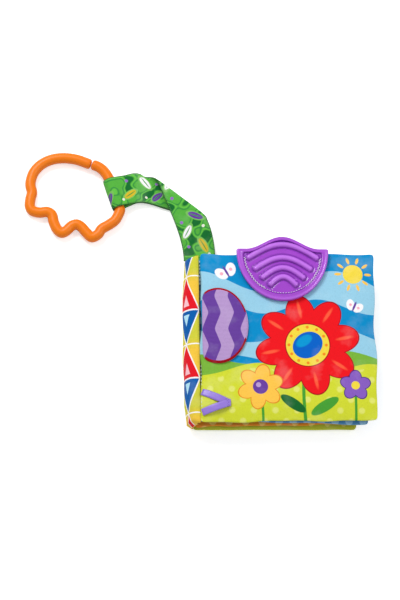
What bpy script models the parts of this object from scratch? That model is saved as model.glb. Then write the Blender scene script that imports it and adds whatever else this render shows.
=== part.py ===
"""Crinkle cloth book.

Two padded covers and two crinkle leaves turn on a padded cloth spine. The front cover carries a
moulded teether, an oval flap and a ribbon loop. A doubled strap, sewn to the back cover's top
edge, holds an open plastic link. Metres, +Z up. The book lies closed on its back cover, whose
flat underside has its centre at the origin; the spine is towards -X and the strap towards +Y.
The spine leans over the pages, so each leaf and cover starts further right than the one below.
"""
import math

import bmesh
import bpy
from mathutils import Matrix, Vector

# Cloth, seams and the play between neighbours
CLOTH = 0.0009
PLAY = 0.0003
PAGE_PLAY = 0.0004

# Covers and leaves
BACK_WIDTH = 0.136
BACK_HEIGHT = 0.142
FRONT_WIDER = 0.0045
FRONT_SHORTER = 0.0040
COVER_THICKNESS = 0.007
LEAF_NARROWER = 0.0005
LEAF_SHORTER = 0.0030
LEAF_THICKNESS = 0.005
CORNER_RADIUS = 0.006
REST_CUT = 0.0005
CROWN_REACH = 0.030
CROWN_POWER = 2.5
CROWN_RING_SHARES = (0.17, 0.43, 1.0)
CORNER_OPENING_SHARE = 0.4
CORNER_STEPS = 3
SIDE_STEPS = 4

# Filling
WADDING_INSET = 0.008
FILM_INSET = 0.006
FILM_THICKNESS = 0.0003

# Spine
SPINE_LEAN = 0.0050
SPINE_SHORT = 0.0015
SPINE_BULGE = 0.0045
SPINE_END_SHARE = 0.5
SPINE_WADDING_INSET = 0.003
SPINE_ARC_STEPS = 6
SPINE_LENGTH_STEPS = 8

# Teether, whose middle lies on the front cover's top edge
TEETHER_HALF_WIDTH = 0.0367
TEETHER_DROP = 0.0383
TEETHER_TIP_RISE = 0.0053
TEETHER_PEAK_RISE = 0.0103
TEETHER_BELL_SHARE = 0.8
TEETHER_OFFSET_X = 0.0668
TEETHER_BASE = 0.0022
TEETHER_RIM_HEIGHT = 0.0014
TEETHER_RIM_SIDE = 0.0058
TEETHER_RIM_TOP = 0.0036
TEETHER_EDGE_ROUND = 0.0009
TEETHER_TIP_ROUND = 0.0015
TEETHER_BELL_STEPS = 14
TEETHER_BOWL_STEPS = 20
TEETHER_TIP_STEPS = 3

# Ribs on the teether: half span, rise of the arch, and drop of its ends below the tips
RIB_HALF_SPANS = (0.0270, 0.0217, 0.0160, 0.0100)
RIB_RISES = (0.0110, 0.0092, 0.0080, 0.0062)
RIB_DROPS = (0.0074, 0.0166, 0.0239, 0.0297)
RIB_WIDTH = 0.0042
RIB_HEIGHT = 0.0016
RIB_ROOT = 0.0005
RIB_STEPS = 12
RIB_SIDES = 5

# Flap, an oval cut straight where it is sewn along the spine side
FLAP_EDGE = 0.0030
FLAP_CENTRE_X = 0.0154
FLAP_CENTRE_Y = 0.0095
FLAP_HALF_WIDTH = 0.0240
FLAP_HALF_HEIGHT = 0.0315
FLAP_PUFF = 0.0010
FLAP_RING_SHARES = (1.0, 0.88, 0.6, 0.3)
FLAP_STEPS = 26

# Ribbon loop
RIBBON_WIDTH = 0.0058
RIBBON_THICKNESS = 0.0005
RIBBON_EDGE = 0.0014
RIBBON_TIP_X = 0.0236
RIBBON_TIP_UP = 0.0150
RIBBON_ENDS_UP = (0.0246, 0.0075)
RIBBON_STEPS = 6
RIBBON_FOLD_STEPS = 4

# Strap, doubled round the link
STRAP_WIDTH = 0.0255
STRAP_CLOTH = 0.0010
STRAP_ROOT_X = 0.0080
STRAP_REACH_X = -0.0682
STRAP_REACH_Y = 0.0559
STRAP_HINGE_SETBACK = 0.0030
STRAP_LOOP_PLAY = 0.0005
STRAP_MERGE = 0.0135
STRAP_END_HEADING = math.radians(18.1)
STRAP_FLOOR_PLAY = 0.0003
# The strap folds over itself on the way: shares of its reach to the fold's middle
STRAP_FOLD_X_SHARE = 0.273
STRAP_FOLD_Y_SHARE = 0.943
STRAP_FOLD_RADIUS = 0.0030
STRAP_CREASE_HEADING = math.radians(141.6)
STRAP_CREASE_ANGLE = math.radians(31.0)
STRAP_ROOT_STEPS = 12
STRAP_FOLD_STEPS = 10
STRAP_TAIL_STEPS = 10
STRAP_TAIL_FLAT_SHARE = 0.30
STRAP_TAIL_TURN_POWER = 1.4
STRAP_LOOP_STEPS = 14
STRAP_LOOP_MEET = math.radians(65)

# Link, an open ring of round bar with a scalloped side
LINK_TUBE_RADIUS = 0.00425
LINK_REACH = 0.068
LINK_HEIGHT = 0.0735
LINK_END_ROUND = 0.0020
LINK_STRAIGHT_PLAY = 0.0005
LINK_SIDES = 12
LINK_STEPS = 3
# Shares of the reach away from the strap and of the height along the strap's loop
LINK_ARM_SHARES = ((0.010, 0.240), (0.034, 0.304), (0.068, 0.354), (0.110, 0.389))
LINK_BOW_SHARES = (
    (0.010, -0.212),
    (0.090, -0.288),
    (0.178, -0.320),
    (0.280, -0.343),
    (0.342, -0.389),
    (0.424, -0.400),
    (0.468, -0.330),
    (0.498, -0.258),
    (0.540, -0.210),
    (0.606, -0.208),
    (0.680, -0.242),
    (0.745, -0.249),
    (0.784, -0.190),
    (0.792, -0.105),
    (0.784, -0.022),
    (0.828, 0.030),
    (0.910, 0.047),
    (0.982, 0.088),
    (0.998, 0.150),
    (0.966, 0.226),
    (0.922, 0.295),
    (0.914, 0.372),
    (0.884, 0.440),
    (0.818, 0.518),
    (0.708, 0.577),
    (0.572, 0.597),
    (0.428, 0.573),
    (0.290, 0.512),
    (0.172, 0.426),
)

# Worked out from the sizes above
SEAM_HALF = CLOTH + PLAY / 2
FRONT_WIDTH = BACK_WIDTH + FRONT_WIDER
FRONT_HEIGHT = BACK_HEIGHT - FRONT_SHORTER
LEAF_WIDTH = BACK_WIDTH - LEAF_NARROWER
LEAF_HEIGHT = BACK_HEIGHT - LEAF_SHORTER
SPINE_LENGTH = BACK_HEIGHT - 2 * SPINE_SHORT
BACK_Z = COVER_THICKNESS / 2
LEAF_2_Z = COVER_THICKNESS + PAGE_PLAY + LEAF_THICKNESS / 2
LEAF_1_Z = LEAF_2_Z + LEAF_THICKNESS + PAGE_PLAY
FRONT_Z = LEAF_1_Z + LEAF_THICKNESS / 2 + PAGE_PLAY + COVER_THICKNESS / 2
SPINE_TALL = FRONT_Z - BACK_Z
BACK_LEFT = -BACK_WIDTH / 2
LEAF_2_LEFT = BACK_LEFT + SPINE_LEAN * (LEAF_2_Z - BACK_Z) / SPINE_TALL
LEAF_1_LEFT = BACK_LEFT + SPINE_LEAN * (LEAF_1_Z - BACK_Z) / SPINE_TALL
FRONT_LEFT = BACK_LEFT + SPINE_LEAN
STRAP_HALF = STRAP_CLOTH + PLAY / 2
STRAP_LOOP_RADIUS = LINK_TUBE_RADIUS + STRAP_LOOP_PLAY + STRAP_CLOTH / 2
LOOP_Z = STRAP_LOOP_RADIUS + STRAP_CLOTH / 2
LOOP_X = BACK_LEFT + STRAP_ROOT_X + STRAP_REACH_X
LOOP_Y = BACK_HEIGHT / 2 + PLAY + STRAP_REACH_Y


def material(name, colour, roughness, metallic=0.0):
    """A plain material of one colour."""
    made = bpy.data.materials.new(name)
    made.use_nodes = True
    shader = made.node_tree.nodes["Principled BSDF"]
    shader.inputs["Base Color"].default_value = (*colour, 1.0)
    shader.inputs["Roughness"].default_value = roughness
    shader.inputs["Metallic"].default_value = metallic
    made.diffuse_color = (*colour, 1.0)
    return made


def joint_empty(name, position, parent=None):
    """An empty on a joint's axis, which carries the pieces that turn about it."""
    empty = bpy.data.objects.new(name, None)
    bpy.context.scene.collection.objects.link(empty)
    empty["at"] = tuple(position)
    empty.location = Vector(position)
    if parent is not None:
        empty.parent = parent
        empty.location -= Vector(parent["at"])
    return empty


def loft(name, rings, colour, roughness, carrier, smooth_angle=40):
    """A closed body through rings of equal count, capped at both ends, on its carrier."""
    mesh_data = bmesh.new()
    rows = [[mesh_data.verts.new(point) for point in ring] for ring in rings]
    count = len(rows[0])
    for lower, upper in zip(rows, rows[1:]):
        for index in range(count):
            following = (index + 1) % count
            mesh_data.faces.new((lower[index], lower[following], upper[following], upper[index]))
    mesh_data.faces.new(list(reversed(rows[0])))
    mesh_data.faces.new(rows[-1])
    bmesh.ops.recalc_face_normals(mesh_data, faces=mesh_data.faces)
    origin = Vector(carrier["at"])
    bmesh.ops.translate(mesh_data, verts=mesh_data.verts, vec=-origin)
    mesh = bpy.data.meshes.new(name)
    mesh_data.to_mesh(mesh)
    mesh_data.free()
    mesh.shade_smooth()
    mesh.set_sharp_from_angle(angle=math.radians(smooth_angle))
    piece = bpy.data.objects.new(name, mesh)
    bpy.context.scene.collection.objects.link(piece)
    piece.parent = carrier
    mesh.materials.append(material(name, colour, roughness))
    return piece


def smooth_route(points, steps):
    """Points along a smooth curve through the inner points; the first and last only steer it."""
    route = []
    for before, start, end, after in zip(points, points[1:], points[2:], points[3:]):
        for step in range(steps):
            t = step / steps
            route.append(tuple(
                0.5 * (2 * b + (c - a) * t + (2 * a - 5 * b + 4 * c - d) * t * t
                       + (3 * b - a - 3 * c + d) * t ** 3)
                for a, b, c, d in zip(before, start, end, after)))
    route.append(tuple(points[-2]))
    return route


class Pad:
    """A cover or leaf: two crowned cloths sewn together round a bead, with filling inside."""

    def __init__(self, name, left, width, height, thickness, middle, carrier, rest_cut=0.0):
        self.name = name
        self.left = left
        self.right = left + width
        self.half_height = height / 2
        self.half_thickness = thickness / 2
        self.middle = middle
        self.carrier = carrier
        self.cuts = {1: 0.0, -1: rest_cut}
        self.insets = [SEAM_HALF + share * CROWN_REACH for share in CROWN_RING_SHARES]

    def crown(self, inset, side):
        """Height of the outer surface over the middle plane, straight between the rings."""
        full = self.half_thickness + self.cuts[side]
        stops = [(SEAM_HALF, SEAM_HALF)]
        for share, stop in zip(CROWN_RING_SHARES, self.insets):
            rise = 1 - (1 - share) ** CROWN_POWER
            stops.append((stop, SEAM_HALF + (full - SEAM_HALF) * rise))
        height = stops[-1][1]
        for (near, low), (far, high) in zip(stops, stops[1:]):
            if inset <= far:
                height = low + (high - low) * max(inset - near, 0) / (far - near)
                break
        return min(height, self.half_thickness)

    def ring(self, inset, height):
        """A rounded rectangle, counter-clockwise, this far inside the pad's outline."""
        radius = CORNER_RADIUS + inset * CORNER_OPENING_SHARE
        reach_x = (self.right - self.left) / 2 - inset - radius
        reach_y = self.half_height - inset - radius
        centre_x = (self.left + self.right) / 2
        points = []
        for quarter, (way_x, way_y) in enumerate(((1, -1), (1, 1), (-1, 1), (-1, -1))):
            arc = []
            for step in range(CORNER_STEPS + 1):
                angle = (quarter - 1 + step / CORNER_STEPS) * math.pi / 2
                arc.append(Vector((centre_x + way_x * reach_x + radius * math.cos(angle),
                                   way_y * reach_y + radius * math.sin(angle),
                                   self.middle + height)))
            if points:
                points += side_points(points[-1], arc[0])
            points += arc
        return points + side_points(points[-1], points[0])

    def cloth(self, suffix, side, colour, roughness=0.85):
        """One of the two cloths: side is 1 for the upper one and -1 for the lower one."""
        rings = []
        for inset in reversed([SEAM_HALF] + self.insets):
            rings.append(self.ring(inset, side * (self.crown(inset, side) - CLOTH)))
        for share in (0, 0.5, 1):
            angle = share * math.pi / 2
            rise = max(PLAY / 2, SEAM_HALF * math.sin(angle))
            rings.append(self.ring(SEAM_HALF * (1 - math.cos(angle)), side * rise))
        for inset in self.insets:
            rings.append(self.ring(inset, side * self.crown(inset, side)))
        return loft(f"{self.name}_{suffix}", rings, colour, roughness, self.carrier)

    def filling(self, suffix, start, above, below, colour, roughness):
        """A layer whose faces lie this far below the upper cloth's face, or above the lower's."""
        insets = [start] + [inset for inset in self.insets if inset > start]
        rings = [self.ring(inset, below(inset)) for inset in reversed(insets)]
        rings += [self.ring(inset, above(inset)) for inset in insets]
        return loft(f"{self.name}_{suffix}", rings, colour, roughness, self.carrier)

    def wadding(self, above_cover=0.0):
        """Soft filling, with room above it for what else the pad holds."""
        cover = CLOTH + PLAY
        return self.filling(
            "wadding", WADDING_INSET,
            lambda inset: self.crown(inset, 1) - cover - above_cover,
            lambda inset: cover - self.crown(inset, -1),
            (0.95, 0.95, 0.93), 0.95)

    def film(self):
        """The thin film that crinkles, against the upper cloth."""
        cover = CLOTH + PLAY
        return self.filling(
            "crinkle_film", FILM_INSET,
            lambda inset: self.crown(inset, 1) - cover,
            lambda inset: self.crown(inset, 1) - cover - FILM_THICKNESS,
            (0.8, 0.85, 0.9), 0.25)

    def top_at(self, x, y):
        """Height of the upper surface over a place on the pad, in the part's frame."""
        inset = min(x - self.left, self.right - x, self.half_height - abs(y))
        return self.middle + self.crown(max(inset, SEAM_HALF), 1)


def side_points(start, end):
    """The points between two corners of a ring."""
    return [start.lerp(end, step / SIDE_STEPS) for step in range(1, SIDE_STEPS)]


def build_pads(front_carrier, leaf_carriers, back_carrier):
    """Covers and leaves; returns the front cover's pad, which other pieces lie on."""
    back = Pad("back_cover", BACK_LEFT, BACK_WIDTH, BACK_HEIGHT, COVER_THICKNESS, BACK_Z,
               back_carrier, REST_CUT)
    back.cloth("outer", -1, (0.62, 0.65, 0.03))
    back.wadding()
    back.cloth("lining", 1, (0.62, 0.65, 0.03))

    front = Pad("front_cover", FRONT_LEFT, FRONT_WIDTH, FRONT_HEIGHT, COVER_THICKNESS, FRONT_Z,
                front_carrier)
    front.cloth("outer", 1, (0.01, 0.32, 0.68))
    front.wadding()
    front.cloth("lining", -1, (0.01, 0.32, 0.68))

    leaves = (("leaf_1", LEAF_1_LEFT, LEAF_1_Z, (0.10, 0.28, 0.50)),
              ("leaf_2", LEAF_2_LEFT, LEAF_2_Z, (0.35, 0.06, 0.03)))
    for (name, left, middle, colour), carrier in zip(leaves, leaf_carriers):
        leaf = Pad(name, left, LEAF_WIDTH, LEAF_HEIGHT, LEAF_THICKNESS, middle, carrier)
        leaf.cloth("front_panel", 1, colour)
        leaf.film()
        leaf.wadding(above_cover=FILM_THICKNESS + PLAY)
        leaf.cloth("back_panel", -1, colour)
    return front


def build_spine(carrier):
    """The padded strip between the covers: lining, wadding and a bowed outer panel."""
    foot = Vector((BACK_LEFT + SEAM_HALF, 0, BACK_Z))
    rise = Vector((SPINE_LEAN, 0, SPINE_TALL))
    outward = Vector((-SPINE_TALL, 0, SPINE_LEAN)).normalized()
    inner = SEAM_HALF + PLAY
    lined = inner + CLOTH

    def bow(share, along):
        ends = SPINE_END_SHARE + (1 - SPINE_END_SHARE) * (1 - along ** 4)
        return SPINE_BULGE * ends * (1 - (2 * share - 1) ** 2)

    def strip(name, inset, near, far, length, colour, steps):
        """A strip between the faces near(share, along) and far(share, along), outward."""
        shares = [inset + (1 - 2 * inset) * step / steps for step in range(steps + 1)]
        rings = []
        for station in range(SPINE_LENGTH_STEPS + 1):
            along = 2 * station / SPINE_LENGTH_STEPS - 1
            start = foot + Vector((0, along * length / 2, 0))
            ring = [start + rise * share + outward * near(share, along) for share in shares]
            ring += [start + rise * share + outward * far(share, along)
                     for share in reversed(shares)]
            rings.append(ring)
        loft(name, rings, colour, 0.85, carrier)

    strip("spine_lining", 0, lambda share, along: inner, lambda share, along: lined,
          SPINE_LENGTH, (0.02, 0.15, 0.42), 1)
    strip("spine_wadding", SPINE_WADDING_INSET / SPINE_TALL, lambda share, along: lined + PLAY,
          lambda share, along: lined + PLAY + bow(share, along),
          SPINE_LENGTH - 2 * SPINE_WADDING_INSET, (0.95, 0.95, 0.93), SPINE_ARC_STEPS)
    strip("spine_panel", 0, lambda share, along: lined + 2 * PLAY + bow(share, along),
          lambda share, along: lined + 2 * PLAY + CLOTH + bow(share, along),
          SPINE_LENGTH, (0.60, 0.62, 0.06), SPINE_ARC_STEPS)


def teether_ring(side_inset, top_inset, height):
    """The teether's outline, moved in: a bell-shaped top over half an ellipse, round tips."""
    centre_x = FRONT_LEFT + TEETHER_OFFSET_X
    tip_y = FRONT_HEIGHT / 2 + TEETHER_TIP_RISE - top_inset
    half_width = TEETHER_HALF_WIDTH - side_inset
    tip_round = TEETHER_TIP_ROUND
    shoulder = half_width - tip_round
    points = []
    for step in range(TEETHER_TIP_STEPS):
        angle = step / TEETHER_TIP_STEPS * math.pi / 2
        points.append((shoulder + tip_round * math.cos(angle),
                       tip_y - tip_round * (1 - math.sin(angle))))
    for step in range(TEETHER_BELL_STEPS + 1):
        x = shoulder * (1 - 2 * step / TEETHER_BELL_STEPS)
        spread = min(abs(x) / (TEETHER_HALF_WIDTH * TEETHER_BELL_SHARE), 1)
        points.append((x, tip_y + TEETHER_PEAK_RISE * (1 + math.cos(math.pi * spread)) / 2))
    for step in range(1, TEETHER_TIP_STEPS):
        angle = (1 + step / TEETHER_TIP_STEPS) * math.pi / 2
        points.append((-shoulder + tip_round * math.cos(angle),
                       tip_y - tip_round * (1 - math.sin(angle))))
    bowl_y = tip_y - tip_round
    drop = TEETHER_DROP + TEETHER_TIP_RISE - tip_round - side_inset - top_inset
    for step in range(TEETHER_BOWL_STEPS):
        angle = math.pi * (1 + step / TEETHER_BOWL_STEPS)
        points.append((half_width * math.cos(angle), bowl_y + drop * math.sin(angle)))
    return [Vector((centre_x + x, y, height)) for x, y in points]


def rib_rings(half_span, rise, drop, base):
    """Sections of one arched rib, half round above its root and tapered at its ends."""
    centre_x = FRONT_LEFT + TEETHER_OFFSET_X
    end_y = FRONT_HEIGHT / 2 + TEETHER_TIP_RISE - drop
    rings = []
    for step in range(-RIB_STEPS, RIB_STEPS + 1):
        spread = step / RIB_STEPS
        angle = math.pi / 2 * spread
        centre = Vector((centre_x + half_span * math.sin(angle), end_y, base))
        place = math.sin(angle)
        centre.y += rise * math.cos(math.pi / 2 * place)
        slope = -rise * math.pi / 2 * math.sin(math.pi / 2 * place) / half_span
        across = Vector((-slope, 1, 0)).normalized()
        swell = max(math.cos(angle), 0.12) ** 0.25
        ring = []
        for side in range(RIB_SIDES + 1):
            turn = math.pi * side / RIB_SIDES
            offset = across * (RIB_WIDTH / 2 * swell * math.cos(turn))
            ring.append(centre + offset + Vector((0, 0, RIB_HEIGHT * swell * math.sin(turn))))
        for way in (-1, 1):
            foot = centre + across * (way * RIB_WIDTH / 2 * swell)
            ring.append(foot - Vector((0, 0, RIB_ROOT)))
        rings.append(ring)
    return rings


def join_into(target, tools):
    """Joins overlapping bodies into one, and removes the tools."""
    for tool in tools:
        union = target.modifiers.new("join", "BOOLEAN")
        union.operation = "UNION"
        union.object = tool
    depsgraph = bpy.context.evaluated_depsgraph_get()
    joined = bpy.data.meshes.new_from_object(target.evaluated_get(depsgraph))
    target.modifiers.clear()
    target.data = joined
    joined.shade_smooth()
    joined.set_sharp_from_angle(angle=math.radians(50))
    for tool in tools:
        bpy.data.objects.remove(tool)


def build_teether(carrier):
    """A moulded plate with a raised rim and four arched ribs."""
    colour = (0.35, 0.045, 0.61)
    bottom = FRONT_Z + COVER_THICKNESS / 2 + PLAY
    field = bottom + TEETHER_BASE
    rim = field + TEETHER_RIM_HEIGHT
    soft = TEETHER_EDGE_ROUND
    side = TEETHER_RIM_SIDE
    top = TEETHER_RIM_TOP
    rings = [
        teether_ring(soft, soft, bottom),
        teether_ring(0, 0, bottom + soft),
        teether_ring(0, 0, rim - soft),
        teether_ring(soft * (1 - math.sqrt(0.5)), soft * (1 - math.sqrt(0.5)),
                     rim - soft * (1 - math.sqrt(0.5))),
        teether_ring(soft, soft, rim),
        teether_ring(side - soft, top - soft, rim),
        teether_ring(side, top, rim - soft),
        teether_ring(side, top, field),
    ]
    plate = loft("teether", rings, colour, 0.3, carrier, smooth_angle=50)
    ribs = []
    for number, sizes in enumerate(zip(RIB_HALF_SPANS, RIB_RISES, RIB_DROPS), start=1):
        ribs.append(loft(f"rib_{number}", rib_rings(*sizes, field), colour, 0.3, carrier))
    join_into(plate, ribs)


def flap_ring(share, lift, front):
    """A ring of the flap, this share of its outline, lying this far above the front cover."""
    edge_x = FRONT_LEFT + FLAP_EDGE
    centre_x = FRONT_LEFT + FLAP_CENTRE_X
    cut = math.acos((edge_x - centre_x) / FLAP_HALF_WIDTH)
    points = []
    for step in range(FLAP_STEPS):
        angle = cut * (2 * step / (FLAP_STEPS - 1) - 1)
        points.append((centre_x + FLAP_HALF_WIDTH * math.cos(angle),
                       FLAP_CENTRE_Y + FLAP_HALF_HEIGHT * math.sin(angle)))
    top_y = points[-1][1]
    low_y = points[0][1]
    for step in range(1, SIDE_STEPS):
        points.append((edge_x, top_y + (low_y - top_y) * step / SIDE_STEPS))
    ring = []
    for x, y in points:
        place_x = centre_x + (x - centre_x) * share
        place_y = FLAP_CENTRE_Y + (y - FLAP_CENTRE_Y) * share
        ring.append(Vector((place_x, place_y, front.top_at(place_x, place_y) + lift)))
    return ring


def build_flap(carrier, front):
    """Two layers of cloth that follow the cover's crown; the upper one is puffed."""
    layers = (("flap_backing", PLAY, 0.0), ("flap_face", 2 * PLAY + CLOTH, FLAP_PUFF))
    for name, lift, puff in layers:
        rings = [flap_ring(share, lift, front) for share in reversed(FLAP_RING_SHARES)]
        for share in FLAP_RING_SHARES:
            rings.append(flap_ring(share, lift + CLOTH + puff * (1 - share ** 2), front))
        loft(name, rings, (0.20, 0.10, 0.42), 0.85, carrier)


def band_ring(centre, across, normal, half_width, half_thickness):
    """The four corners of a flat band's section."""
    side = across * half_width
    face = normal * half_thickness
    return [centre + side + face, centre - side + face, centre - side - face, centre + side - face]


def build_ribbon(carrier, front):
    """A ribbon folded over at its tacked tip, with both ends cut along the spine seam."""
    half = RIBBON_THICKNESS / 2
    fold = half + PLAY / 2 + half
    bottom = -FRONT_HEIGHT / 2
    tip = Vector((FRONT_LEFT + RIBBON_TIP_X, bottom + RIBBON_TIP_UP, 0))
    tip_height = front.top_at(tip.x, tip.y) + PLAY + half
    rings = []
    for number, end_up in enumerate(RIBBON_ENDS_UP):
        end = Vector((FRONT_LEFT + RIBBON_EDGE, bottom + end_up, 0))
        heading = (tip - end).normalized()
        across = Vector((-heading.y, heading.x, 0))
        leg = []
        for step in range(RIBBON_STEPS + 1):
            share = step / RIBBON_STEPS
            centre = end.lerp(tip, share)
            corners = band_ring(centre, across, Vector((0, 0, 1)), RIBBON_WIDTH / 2, half)
            if step == 0:
                for corner in corners:
                    corner += heading * ((end.x - corner.x) / heading.x)
            lift = 2 * fold * number * min(2 * share, 1)
            for corner in corners:
                corner.z += front.top_at(corner.x, corner.y) + PLAY + half + lift
            leg.append(corners)
        if number == 0:
            rings += leg
        else:
            for corners in reversed(leg):
                rings.append([corners[3], corners[2], corners[1], corners[0]])
        if number == 0:
            for step in range(1, RIBBON_FOLD_STEPS):
                angle = math.pi * step / RIBBON_FOLD_STEPS
                outward = Vector((math.sin(angle), 0, -math.cos(angle)))
                centre = Vector((tip.x, tip.y, tip_height + fold)) + outward * fold
                rings.append(band_ring(centre, Vector((0, 1, 0)), -outward,
                                       RIBBON_WIDTH / 2, half))
    loft("ribbon_tab", rings, (0.25, 0.13, 0.55), 0.4, carrier)


def plan_direction(angle):
    """A level direction at an angle from +X."""
    return Vector((math.cos(angle), math.sin(angle), 0))


def plan_curve(start, start_angle, end, end_angle, t):
    """A place and its direction on a level curve that leaves and arrives at two angles."""
    reach = (end - start).length
    leave = plan_direction(start_angle) * reach
    arrive = plan_direction(end_angle) * reach
    place = (start * (2 * t ** 3 - 3 * t ** 2 + 1) + leave * (t ** 3 - 2 * t ** 2 + t)
             + end * (3 * t ** 2 - 2 * t ** 3) + arrive * (t ** 3 - t ** 2))
    along = ((start - end) * (6 * t ** 2 - 6 * t) + leave * (3 * t ** 2 - 4 * t + 1)
             + arrive * (3 * t ** 2 - 2 * t))
    return place, along.normalized()


def strap_stations():
    """The strap's middle line: centre, direction across and normal, from the root to the loop.

    The directions across turn until they lie along the crease, so the fold has flat facets.
    """
    root = Vector((BACK_LEFT + STRAP_ROOT_X, BACK_HEIGHT / 2 + PLAY, 0))
    middle = root + Vector((STRAP_FOLD_X_SHARE * STRAP_REACH_X, STRAP_FOLD_Y_SHARE * STRAP_REACH_Y, 0))
    merge = Vector((LOOP_X, LOOP_Y, 0)) + plan_direction(STRAP_END_HEADING) * STRAP_MERGE
    crease = plan_direction(STRAP_CREASE_HEADING)
    outward = plan_direction(STRAP_CREASE_HEADING - math.pi / 2)
    slant = 1 / math.tan(STRAP_CREASE_ANGLE)
    half_advance = crease * (math.pi * STRAP_FOLD_RADIUS * slant / 2)
    low = STRAP_HALF + STRAP_FLOOR_PLAY
    high = low + 2 * STRAP_FOLD_RADIUS
    places = []
    for step in range(STRAP_ROOT_STEPS):
        share = step / STRAP_ROOT_STEPS
        place, along = plan_curve(root, math.pi / 2, middle - half_advance,
                                  STRAP_CREASE_HEADING - STRAP_CREASE_ANGLE, share)
        rise = share * share * (3 - 2 * share)
        right = Vector((along.y, -along.x, 0))
        places.append((place + Vector((0, 0, BACK_Z + (high - BACK_Z) * rise)),
                       right - along * slant * share))
    for step in range(STRAP_FOLD_STEPS):
        share = step / STRAP_FOLD_STEPS
        turn = math.pi * share
        radial = outward * math.sin(turn) + Vector((0, 0, math.cos(turn)))
        axis_point = middle + half_advance * (2 * share - 1) + Vector((0, 0, low + STRAP_FOLD_RADIUS))
        places.append((axis_point + radial * STRAP_FOLD_RADIUS,
                       -crease / math.sin(STRAP_CREASE_ANGLE)))
    for step in range(STRAP_TAIL_STEPS + 1):
        share = step / STRAP_TAIL_STEPS
        place, along = plan_curve(middle + half_advance, STRAP_CREASE_HEADING + STRAP_CREASE_ANGLE,
                                  merge, math.pi + STRAP_END_HEADING, share)
        lift = max(share - STRAP_TAIL_FLAT_SHARE, 0) / (1 - STRAP_TAIL_FLAT_SHARE)
        rise = lift * lift * (3 - 2 * lift)
        left = Vector((-along.y, along.x, 0))
        places.append((place + Vector((0, 0, low + (LOOP_Z - low) * rise)),
                       left - along * slant * (1 - share ** STRAP_TAIL_TURN_POWER)))
    stations = []
    for index, (centre, across) in enumerate(places):
        before = places[max(index - 1, 0)][0]
        after = places[min(index + 1, len(places) - 1)][0]
        tangent = (after - before).normalized()
        if index in (0, len(places) - 1):
            tangent.z = 0
        stations.append((centre, across, across.cross(tangent).normalized()))
    return stations


def build_strap(carrier):
    """One band of cloth: out from the root, round the link and back on itself."""
    stations = strap_stations()
    half_width = STRAP_WIDTH / 2
    half_cloth = STRAP_CLOTH / 2
    apart = (STRAP_CLOTH + PLAY) / 2
    rings = []
    for centre, across, normal in stations:
        rings.append(band_ring(centre - normal * apart, across, normal, half_width, half_cloth))
    last_centre, across, normal = stations[-1]
    link_centre = Vector((LOOP_X, LOOP_Y, LOOP_Z))
    back = (last_centre - link_centre).normalized()
    for step in range(STRAP_LOOP_STEPS + 1):
        angle = STRAP_LOOP_MEET + (2 * math.pi - 2 * STRAP_LOOP_MEET) * step / STRAP_LOOP_STEPS
        radial = back * math.cos(angle) - normal * math.sin(angle)
        rings.append(band_ring(link_centre + radial * STRAP_LOOP_RADIUS, across, -radial,
                               half_width, half_cloth))
    for centre, across, normal in reversed(stations):
        rings.append(band_ring(centre + normal * apart, across, -normal, half_width, half_cloth))
    loft("strap_band", rings, (0.08, 0.43, 0.05), 0.8, carrier, smooth_angle=60)


def link_route():
    """The link's centre line in its own plane: x away from the strap, y along the strap's loop."""
    straight = STRAP_WIDTH / 2 + LINK_STRAIGHT_PLAY
    arm = [(across * LINK_REACH, along * LINK_HEIGHT) for across, along in LINK_ARM_SHARES]
    bow = [(across * LINK_REACH, along * LINK_HEIGHT) for across, along in LINK_BOW_SHARES]
    inside = straight - LINK_TUBE_RADIUS
    upper = smooth_route([(0, inside), (0, straight)] + arm + [extended(arm[-2], arm[-1])], LINK_STEPS)
    lower = smooth_route([(0, -inside), (0, -straight)] + bow + [extended(bow[-2], bow[-1])],
                         LINK_STEPS)
    return list(reversed(upper)) + lower


def extended(before, last):
    """A point as far beyond the last one as the one before lies short of it."""
    return tuple(2 * b - a for a, b in zip(before, last))


def build_link(carrier):
    """A round bar swept along the link's route, with rounded ends."""
    route = [Vector((x, y, 0)) for x, y in link_route()]
    rings = []
    count = len(route)
    for index, centre in enumerate(route):
        tangent = (route[min(index + 1, count - 1)] - route[max(index - 1, 0)]).normalized()
        across = Vector((-tangent.y, tangent.x, 0))
        ends = []
        if index == 0:
            ends = [-1]
        if index == count - 1:
            ends = [1]
        stages = [(0.0, LINK_TUBE_RADIUS)]
        for way in ends:
            for share in (0.5, 1):
                turn = share * math.pi / 2
                stages.append((way * LINK_END_ROUND * math.sin(turn),
                               LINK_TUBE_RADIUS - LINK_END_ROUND * (1 - math.cos(turn))))
            stages = sorted(stages)
        for along, radius in stages:
            ring = []
            for side in range(LINK_SIDES):
                turn = 2 * math.pi * side / LINK_SIDES
                offset = across * (radius * math.cos(turn)) + Vector((0, 0, radius * math.sin(turn)))
                ring.append(centre + tangent * along + offset)
            rings.append(ring)
    tilt = math.asin((LOOP_Z - LINK_TUBE_RADIUS) / max(point.x for point in route))
    lay = (Matrix.Translation((LOOP_X, LOOP_Y, LOOP_Z))
           @ Matrix.Rotation(math.pi + STRAP_END_HEADING, 4, "Z")
           @ Matrix.Rotation(tilt, 4, "Y"))
    for ring in rings:
        for index, point in enumerate(ring):
            ring[index] = lay @ Vector((point.x, -point.y, point.z))
    loft("link_ring", rings, (1.0, 0.17, 0.004), 0.3, carrier, smooth_angle=60)


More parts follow.
